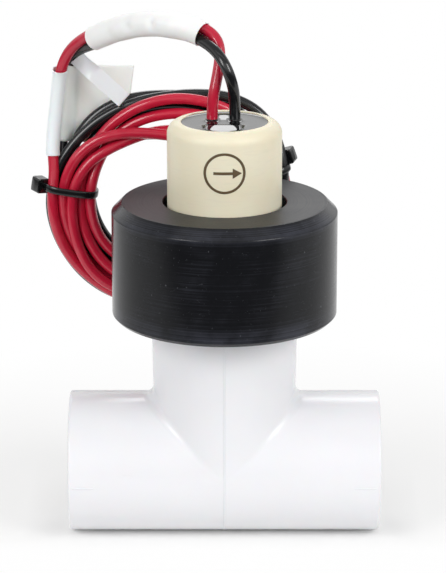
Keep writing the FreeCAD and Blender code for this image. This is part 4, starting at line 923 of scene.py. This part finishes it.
class FLOWTEE_OT_sleeves(bpy.types.Operator):
    """Makes the white sleeve over both leads and the rolled marker on the red lead"""
    bl_idname = "flowtee.sleeves"
    bl_label = "Sleeve and wire marker"

    def execute(self, context):
        fittings = context.scene.flowtee_fittings
        finishes = context.scene.flowtee_finishes
        tubing = label_film("white_sleeve_tubing", finishes.sleeve, rough=0.5, smudge=0.20)
        film = label_film("wire_marker_film", finishes.marker, rough=0.30, smudge=0.08)
        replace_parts(self.arch_sleeve(fittings, tubing), "lead_sleeve")
        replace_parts(self.marker(fittings, film), "marker_sleeve")
        return {"FINISHED"}

    def arch_sleeve(self, fittings, material):
        """A soft tube over both leads: an outer wall, a rim, an inner wall and the other rim.

        Sine waves swell it a little along its length. Each dent draws it in by a share that falls off
        along it and round it as a bell curve does.
        """
        rows = 90
        sides = 48
        dent_side = 4.5
        dent_spread = 0.5
        middle = (np.array(RED_ROUTE[3:11]) + np.array(BLACK_ROUTE[3:11])) / 2
        line = stretch(spline_line(middle, 16), fittings.sleeve_start, fittings.sleeve_length, rows)
        along = np.linspace(0.0, 1.0, rows)
        swell = 1 + 0.012 * np.sin(along * 11.0) + 0.008 * np.sin(along * 29.0 + 1.0)
        angle = np.linspace(0.0, 2 * math.pi, sides, endpoint=False)
        off = (angle - dent_side + math.pi) % (2 * math.pi) - math.pi
        drawn = np.zeros((rows, sides))
        for at, deep, long in ((0.37, 0.24, 0.030), (0.58, 0.20, 0.034), (0.76, 0.07, 0.030)):
            drawn = drawn + deep * np.exp(-((along[:, None] - at) / long) ** 2 - (off / dent_spread) ** 2)
        bore = fittings.sleeve_radius - fittings.sleeve_wall
        walls = []
        for radius, order in ((fittings.sleeve_radius, 1), (bore, -1)):
            wall = tube(line, radius * swell, sides) - line[:, None]
            walls.append((line[:, None] + wall * (1 - drawn[..., None]))[::order])
        return piece("arch_sleeve", surface("arch_sleeve", np.concatenate(walls), ring=True), material,
                     40.0)

    def marker(self, fittings, material):
        """A rolled film tube on the red lead whose top mouth opens to one side, as an exponential does."""
        rows = 60
        sides = 40
        mouth_share = 0.06
        to_one_side = np.array((-0.0004, -0.0001, 0.0))
        line = stretch(line_of("red_lead_run"), fittings.marker_start, fittings.marker_length, rows)
        mouth = np.exp(-np.linspace(0.0, 1.0, rows) / mouth_share)
        line = line + to_one_side * mouth[:, None]
        bore = fittings.marker_radius - fittings.marker_wall
        walls = (tube(line, fittings.marker_radius * (1 + 0.16 * mouth), sides),
                 tube(line, bore * (1 + 0.2 * mouth), sides)[::-1])
        return piece("wire_marker", surface("wire_marker", np.concatenate(walls), ring=True), material,
                     40.0)


class FLOWTEE_OT_labels(bpy.types.Operator):
    """Makes the flag label and the strip label that are folded round the black lead"""
    bl_idname = "flowtee.labels"
    bl_label = "Labels"

    def execute(self, context):
        leads = context.scene.flowtee_leads
        fittings = context.scene.flowtee_fittings
        finishes = context.scene.flowtee_finishes
        grey = label_film("grey_label_film", finishes.flag, rough=0.36, smudge=0.14)
        white = label_film("white_label_film", finishes.strip, rough=0.32, smudge=0.10)
        flag = self.label(
            "flag_label", leads, fittings, grey, start=fittings.flag_start, loop=fittings.flag_drop,
            wide=fittings.flag_drop, reach=fittings.flag_width, toward=(1.0, 0.10, -0.16),
            down=(-0.16, -0.02, -1.0), lean=0.0013, bow=0.0016, curl=0.0050)
        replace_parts(flag, "flag_tag")
        strip = self.label(
            "strip_label", leads, fittings, white, start=fittings.strip_start, loop=fittings.strip_loop,
            wide=fittings.strip_width, reach=fittings.strip_length, toward=(0.746, -0.100, -0.665),
            down=(-0.665, -0.218, -0.713), lean=0.0, bow=0.0006, curl=0.0)
        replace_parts(strip, "strip_tag")
        return {"FINISHED"}

    def label(self, name, leads, fittings, material, start, loop, wide, reach, toward, down,
              lean, bow, curl):
        """A film label: a wrap round the lead whose two sides meet and run on as a sheet with a slight bow.

        Across the label a point comes in along the rear side, goes half round the lead, out along the
        front side to where both meet, lean behind the lead's middle, and on along a parabola. The wrap's
        rows follow the lead; the sheet's lie along down. The far upper corner bends back by curl, as the
        square of the shares along both sides.
        """
        rows = 40
        radius = leads.diameter / 2 + fittings.film * 0.7
        meet = radius * 2.2
        rear_gap = fittings.film * 0.6
        straight_after = 0.25
        course = stretch(line_of("black_lead_run"), start, loop, rows)
        middle = course.mean(0)
        down = unit(np.array(down))
        outward = unit(np.array(toward))
        rearward = unit(np.cross(down, outward))
        rearward = rearward if rearward[1] > 0 else -rearward
        turn = np.linspace(0.5 * math.pi, 1.5 * math.pi, 24)
        wrap = np.stack((np.cos(turn), np.sin(turn)), 1) * radius
        close = np.linspace(0.0, 1.0, 9)[1:]
        ease = 1 - close ** 2 * (3 - 2 * close)
        rear = np.stack((close * meet, lean + (radius - lean) * ease + rear_gap), 1)[::-1]
        front = np.stack((close * meet, lean - (radius + lean) * ease), 1)
        out = np.linspace(0.0, 1.0, 30)[1:]
        sheet = np.stack((meet + out * (reach - meet), lean + bow * out ** 2), 1)
        section = np.vstack((rear, wrap, front, sheet))
        share = np.clip((section[:, 0] - meet) / (reach - meet), 0.0, 1.0)
        width = np.linspace(-0.5, 0.5, rows)[:, None, None] * wide
        straight = middle + down * width
        hold = np.clip(share / straight_after, 0.0, 1.0)[None, :, None]
        points = course[:, None] * (1 - hold) + straight * hold
        back = section[None, :, 1] + curl * share ** 2 * np.linspace(1.0, 0.0, rows)[:, None] ** 2
        points = points + outward * section[None, :, :1] + rearward * back[..., None]
        made = piece(name, surface(name, points, round_about=False), material, 60.0)
        thick = made.modifiers.new("film", "SOLIDIFY")
        thick.thickness = fittings.film
        thick.offset = 0.0
        return made


class FLOWTEE_OT_ties(bpy.types.Operator):
    """Makes the two cable ties round the coil"""
    bl_idname = "flowtee.ties"
    bl_label = "Cable ties"

    def execute(self, context):
        leads = context.scene.flowtee_leads
        fittings = context.scene.flowtee_fittings
        black = context.scene.flowtee_finishes.nylon
        nylon = plain_plastic("black_moulded_nylon", black, rough=0.17, grain=0.0006)
        left = self.tie("left_tie", leads, fittings, nylon,
                        angle=172.0, wider=0.0, turned=37.0, shift=(0.0011, 0.0, 0.0))
        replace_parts(left, "cable_tie_left")
        right = self.tie("right_tie", leads, fittings, nylon,
                         angle=17.5, wider=0.0011, turned=20.0, shift=(0.0002, 0.0014, 0.0028))
        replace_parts(right, "cable_tie_right")
        return {"FINISHED"}

    def tie(self, name, leads, fittings, material, angle, wider, turned, shift):
        """A cable tie: a flat band round the coil, a slotted head turned outwards, and a cut tail.

        The band's line is an oblong with round corners in the plane across the leads, longer outwards
        where wider is given; its section is a flat oblong. The head is an oblong carried along its slot,
        in again at the mouth and down the slot. shift moves the head outwards, back and along the leads.
        The tail comes out of the slot by stub, with square teeth along it.
        """
        slack_out = 0.0002
        slack_back = 0.0003
        stub = 0.0011
        tooth = 0.0009
        spot, outward, backward, along = tie_frame(angle, leads)
        half_out = leads.band / 2 + slack_out + wider / 2
        half_back = leads.depth / 2 + slack_back
        spot = spot + outward * wider / 2
        loop = rounded_oblong(half_out, half_back, 2.8, 160)
        ahead = unit(np.roll(loop, -1, 0) - np.roll(loop, 1, 0))
        away = np.stack((ahead[:, 1], -ahead[:, 0]), 1)
        section = rounded_oblong(fittings.tie_thickness / 2, fittings.tie_width / 2, 3.0, 28)
        lift = section[:, 0] + fittings.tie_thickness / 2
        flat = loop[:, None] + away[:, None] * lift[None, :, None]
        band = spot + flat[..., :1] * outward + flat[..., 1:] * backward
        band = band + section[None, :, 1:] * along
        meshes = [surface(name + "_band", band, ring=True)]
        swing = math.radians(turned)
        slot_way = math.cos(swing) * backward + math.sin(swing) * outward
        cross_way = math.cos(swing) * outward - math.sin(swing) * backward
        half = fittings.tie_head / 2
        tall = fittings.tie_head_height / 2
        profile = ((-1.0, 0.80), (-0.97, 0.92), (-0.88, 1.0), (0.0, 1.0),
                   (0.88, 1.0), (0.97, 0.94), (1.0, 0.86))
        rings = [(at * half, rounded_oblong(half * grow, tall * grow, 7.0, 48)) for at, grow in profile]
        mouth = rounded_oblong(fittings.tie_thickness * 0.75, fittings.tie_width * 0.58, 6.0, 48)
        rings += [(half, mouth * 1.06), (half * 0.94, mouth), (half * 0.2, mouth)]
        centre = spot + outward * (half_out + fittings.tie_thickness + shift[0])
        centre = centre + backward * shift[1] + along * shift[2]
        head = np.stack([centre + slot_way * at + ring[:, :1] * cross_way + ring[:, 1:] * along
                         for at, ring in rings])
        meshes.append(surface(name + "_head", head, caps=(True, True)))
        reach = np.linspace(half * 0.3, half + stub, 12)[:, None, None]
        teeth = 1 + 0.12 * np.sign(np.sin(reach / tooth * 2 * math.pi))
        tail = rounded_oblong(fittings.tie_thickness * 0.42, fittings.tie_width * 0.48, 5.0, 24)
        strip = centre + slot_way * reach + tail[None, :, :1] * cross_way * teeth
        strip = strip + tail[None, :, 1:] * along
        meshes.append(surface(name + "_tail", strip, caps=(True, True)))
        return piece(name, joined(name, meshes), material, 35.0)


class FLOWTEE_OT_epoxy(bpy.types.Operator):
    """Makes the epoxy in the housing's top, which climbs at the wall and at the leads"""
    bl_idname = "flowtee.epoxy"
    bl_label = "Epoxy"

    def execute(self, context):
        sizes = context.scene.flowtee_epoxy
        leads = context.scene.flowtee_leads
        low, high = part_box("potting")
        radius = (high.x - low.x) / 2
        sides = 180
        angle = np.linspace(0.0, 2 * math.pi, sides, endpoint=False)
        rim = 0.9
        reach = np.concatenate((np.linspace(0.0, rim, 70)[1:], np.linspace(rim, 1.0, 26)[1:])) * radius
        across = reach[:, None] * np.cos(angle)
        along = reach[:, None] * np.sin(angle)
        pads = self.pads(across, along, sizes)
        level = high.z + self.climbs(across, along, radius, sizes, leads) + pads * sizes.pad_share
        top = np.stack((across, along, level), 2)
        foot = top[-1:].copy()
        foot[..., 2] = low.z
        mesh = surface("epoxy_fill", np.concatenate((top, foot)), caps=(True, True))
        height = np.zeros(len(mesh.vertices), np.float32)
        height[:pads.size] = pads.ravel() * (1 - sizes.pad_share)
        mesh.attributes.new("pad_height", "FLOAT", "POINT").data.foreach_set("value", height)
        made = piece("epoxy_fill", mesh, black_potting_epoxy(context.scene.flowtee_finishes.epoxy),
                     70.0)
        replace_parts(made, "potting")
        return {"FINISHED"}

    def climbs(self, across, along, radius, sizes, leads):
        """Height over the poured level: exponentials that fall off from the wall and from each lead."""
        wall_fall = 0.0006
        lead_fall = 0.0004
        total = sizes.wall_climb * np.exp((np.hypot(across, along) - radius) / wall_fall)
        for route in (RED_ROUTE, BLACK_ROUTE):
            away = np.hypot(across - route[0][0], along - route[0][1]) - leads.diameter / 2
            total = total + sizes.lead_climb * np.exp(-np.clip(away, 0.0, None) / lead_fall)
        return total

    def pads(self, across, along, sizes):
        """Height of two pads, before the leads and behind them, where the epoxy set unevenly.

        Each slopes up to the back, is level over its last stretch, and is hollow from side to side, a
        parabola. A rounded oblong, the sum of two fourth powers, bounds it with a soft edge.
        """
        level_from = 0.7
        total = np.zeros_like(across)
        for middle, centre, half, length, soft in ((-0.00035, -0.0066, 0.0054, 0.0040, 0.0005),
                                                   (-0.0002, 0.0066, 0.0018, 0.0033, 0.0003)):
            off = across - middle
            deep = along - centre
            climb = sizes.slope * (np.clip(deep, -length, length * level_from) + length)
            climb = climb + off ** 2 / (2 * sizes.hollow)
            past = (((off / half) ** 4 + (deep / length) ** 4) ** 0.25 - 1) * min(half, length)
            total = total + climb * (1 - np.tanh(past / soft)) / 2
        return total


class FLOWTEE_OT_mark(bpy.types.Operator):
    """Makes the painted flow mark on the housing's front: a ring with an arrow in it"""
    bl_idname = "flowtee.mark"
    bl_label = "Flow mark"

    def execute(self, context):
        sizes = context.scene.flowtee_mark
        low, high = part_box("flow_mark")
        middle = (low.z + high.z) / 2
        radius = sizes.paint - low.y
        angle = np.linspace(0.0, 2 * math.pi, 120, endpoint=False)
        reach = np.linspace(sizes.outer - sizes.line, sizes.outer, 7)[:, None]
        ring = self.wrapped(reach * np.cos(angle), middle + reach * np.sin(angle), radius)
        hair = 0.00002
        head_middle = 0.0032
        tall = sizes.head * math.sqrt(0.75)
        tip = tall / 3 * 2 + head_middle
        stations = np.array((tip - sizes.arrow, tip - tall - hair, tip - tall, tip))
        along = np.concatenate((np.linspace(stations[0], stations[1], 24),
                                np.linspace(stations[2], tip, 12)))
        half = np.interp(along, stations, (sizes.shaft / 2, sizes.shaft / 2, sizes.head / 2, hair))
        across = np.linspace(1.0, -1.0, 7) * half[:, None]
        arrow = self.wrapped(np.broadcast_to(along[:, None], across.shape), middle + across, radius)
        mesh = joined("mark_paint", [surface("ring", ring), surface("arrow", arrow, round_about=False)])
        brown = context.scene.flowtee_finishes.paint
        filler = plain_plastic("brown_filler_paint", brown, rough=0.6, grain=0.0003)
        made = piece("mark_paint", mesh, filler, 60.0)
        coat = made.modifiers.new("coat", "SOLIDIFY")
        coat.thickness = sizes.paint
        coat.offset = -1.0
        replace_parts(made, "flow_mark")
        return {"FINISHED"}

    def wrapped(self, across, height, radius):
        """Points on an upright cylinder's front: minus the root of radius squared less across squared."""
        return np.stack((across, -np.sqrt(radius ** 2 - across ** 2), height), 2)


class FLOWTEE_OT_mould_lines(bpy.types.Operator):
    """Makes the fine lines that the mould left on the tee"""
    bl_idname = "flowtee.mould_lines"
    bl_label = "Mould lines"

    def execute(self, context):
        sizes = context.scene.flowtee_mould
        low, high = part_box("tee_body")
        run_radius = -low.z
        branch_radius = 0.0207
        draft = 0.0008
        inset = 0.0012
        below = 0.0015
        mark_points = 20
        made = []
        for side in (-1.0, 1.0):
            level = np.linspace(high.z - inset, 0.0, 70)
            front = branch_radius + draft * np.clip(level / high.z, 0.0, 1.0)
            front = np.maximum(front, np.sqrt(np.clip(run_radius ** 2 - level ** 2, 0.0, None)))
            turn = np.linspace(0.0, math.pi / 2, 40)[1:]
            outline = np.concatenate((front, run_radius * np.cos(turn)))
            height = np.concatenate((level, -run_radius * np.sin(turn)))
            line = np.stack((np.zeros_like(outline), side * outline, height), 1)
            made.append(self.ridge(line, np.array((1.0, 0.0, 0.0)), sizes))
            for end in (-1.0, 1.0):
                reach = np.linspace(high.x - inset, high.x - inset - sizes.end_mark, mark_points) * end
                lift = np.full(mark_points, -below)
                deep = np.full(mark_points, side * math.sqrt(run_radius ** 2 - below ** 2))
                made.append(self.ridge(np.stack((reach, deep, lift), 1), np.array((0.0, 0.0, 1.0)), sizes))
        pvc = bpy.data.materials["moulded_white_pvc"]
        piece("mould_lines", joined("mould_lines", made), pvc, 80.0)
        return {"FINISHED"}

    def ridge(self, line, across, sizes):
        """A low round ridge along a line: an ellipse whose upper half stands over the surface.

        Both ends taper as the root of the share along the line does. Above the run's middle the ridge
        stands straight out from the branch, and below it away from the run's axis.
        """
        outward = line * np.array((0.0, 1.0, 0.0))
        outward[:, 2] = np.minimum(line[:, 2], 0.0)
        outward = unit(outward)
        angle = np.linspace(0.0, 2 * math.pi, 12, endpoint=False)
        share = np.linspace(0.0, 1.0, len(line))
        taper = np.sqrt(np.clip(np.minimum(share, 1.0 - share) * 12, 0.02, 1.0))
        wide = np.cos(angle)[None] * sizes.line_width / 2 * taper[:, None]
        high = np.sin(angle)[None] * sizes.line_height * taper[:, None]
        points = line[:, None] + across * wide[..., None] + outward[:, None] * high[..., None]
        return surface("ridge", points, caps=(True, True))


class FLOWTEE_OT_finishes(bpy.types.Operator):
    """Gives the CAD parts that stay in view their real materials"""
    bl_idname = "flowtee.finishes"
    bl_label = "Finishes of the CAD parts"

    def execute(self, context):
        finishes = context.scene.flowtee_finishes
        low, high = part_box("collar_nut")
        # Painted highlights on the collar: bands at the top chamfer and the bottom bevel, each given as a
        # level, a reach and its most lightening.
        sheen_edges = ((high.z - 0.0022, 0.0034, 0.7), (low.z + 0.0025, 0.0045, 0.65))
        white = moulded_white_pvc(finishes.pvc)
        steel = drawn_metal("ground_steel", finishes.steel, rough=0.3)
        plug = plain_plastic("cream_plug_plastic", finishes.housing, rough=0.45, grain=0.0006)
        given = {
            "tee_body": white, "branch_sleeve": white,
            "collar_nut": turned_black_acetal(finishes.collar, sheen_edges),
            "sensor_housing": cream_moulded_abs(finishes.housing), "shaft_plugs": plug,
            "alignment_pin": steel, "impeller_shaft": steel, "blade_targets": steel,
            "inner_lead_red": bpy.data.materials["red_pvc_insulation"],
            "inner_lead_black": bpy.data.materials["black_pvc_insulation"],
        }
        for name, code, rough, grain, nodes in SMALL_PLASTICS:
            given.update(dict.fromkeys(nodes, plain_plastic(name, linear(code), rough, grain)))
        for name, code, rough, nodes in SMALL_METALS:
            given.update(dict.fromkeys(nodes, drawn_metal(name, linear(code), rough)))
        for node, material in given.items():
            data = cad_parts[node].data
            data.materials.clear()
            data.materials.append(material)
        return {"FINISHED"}


class FLOWTEE_PT_panel(bpy.types.Panel):
    """Lists the steps that dress the tee flow sensor"""
    bl_label = "Tee flow sensor"
    bl_idname = "FLOWTEE_PT_panel"
    bl_space_type = "VIEW_3D"
    bl_region_type = "UI"
    bl_category = "Flow tee"

    def draw(self, context):
        for step in OPERATORS:
            self.layout.operator(step.bl_idname)


OPERATORS = (
    FLOWTEE_OT_stage, FLOWTEE_OT_leads, FLOWTEE_OT_sleeves, FLOWTEE_OT_labels, FLOWTEE_OT_ties,
    FLOWTEE_OT_finishes, FLOWTEE_OT_epoxy, FLOWTEE_OT_mark, FLOWTEE_OT_mould_lines,
)
GROUPS = {
    "flowtee_leads": LeadSizes,
    "flowtee_fittings": FittingSizes,
    "flowtee_epoxy": EpoxySizes,
    "flowtee_mark": MarkSizes,
    "flowtee_mould": MouldSizes,
    "flowtee_finishes": Finishes,
    "flowtee_stage": StageSettings,
}


def register():
    for name, group in GROUPS.items():
        bpy.utils.register_class(group)
        setattr(bpy.types.Scene, name, PointerProperty(type=group))
    for made in (*OPERATORS, FLOWTEE_PT_panel):
        bpy.utils.register_class(made)


def unregister():
    for made in (FLOWTEE_PT_panel, *reversed(OPERATORS)):
        bpy.utils.unregister_class(made)
    for name, group in GROUPS.items():
        delattr(bpy.types.Scene, name)
        bpy.utils.unregister_class(group)


def declare_cords():
    """Lists what is on each of the two leads and finds each lead's centre line, but does nothing with them.
    """
    on_red = ["arch_sleeve", "wire_marker", "left_tie", "right_tie", "red_bare_end"]
    on_black = ["flag_label", "strip_label", "black_bare_end"]
    for name, on_it in (("red_lead_run", on_red), ("black_lead_run", on_black)):
        line = line_of(name)


def main():
    register()
    bpy.ops.flowtee.stage()
    bpy.ops.flowtee.leads()
    bpy.ops.flowtee.sleeves()
    bpy.ops.flowtee.labels()
    bpy.ops.flowtee.ties()
    bpy.ops.flowtee.finishes()
    bpy.ops.flowtee.epoxy()
    bpy.ops.flowtee.mark()
    bpy.ops.flowtee.mould_lines()
    declare_cords()


if __name__ == "__main__":
    main()
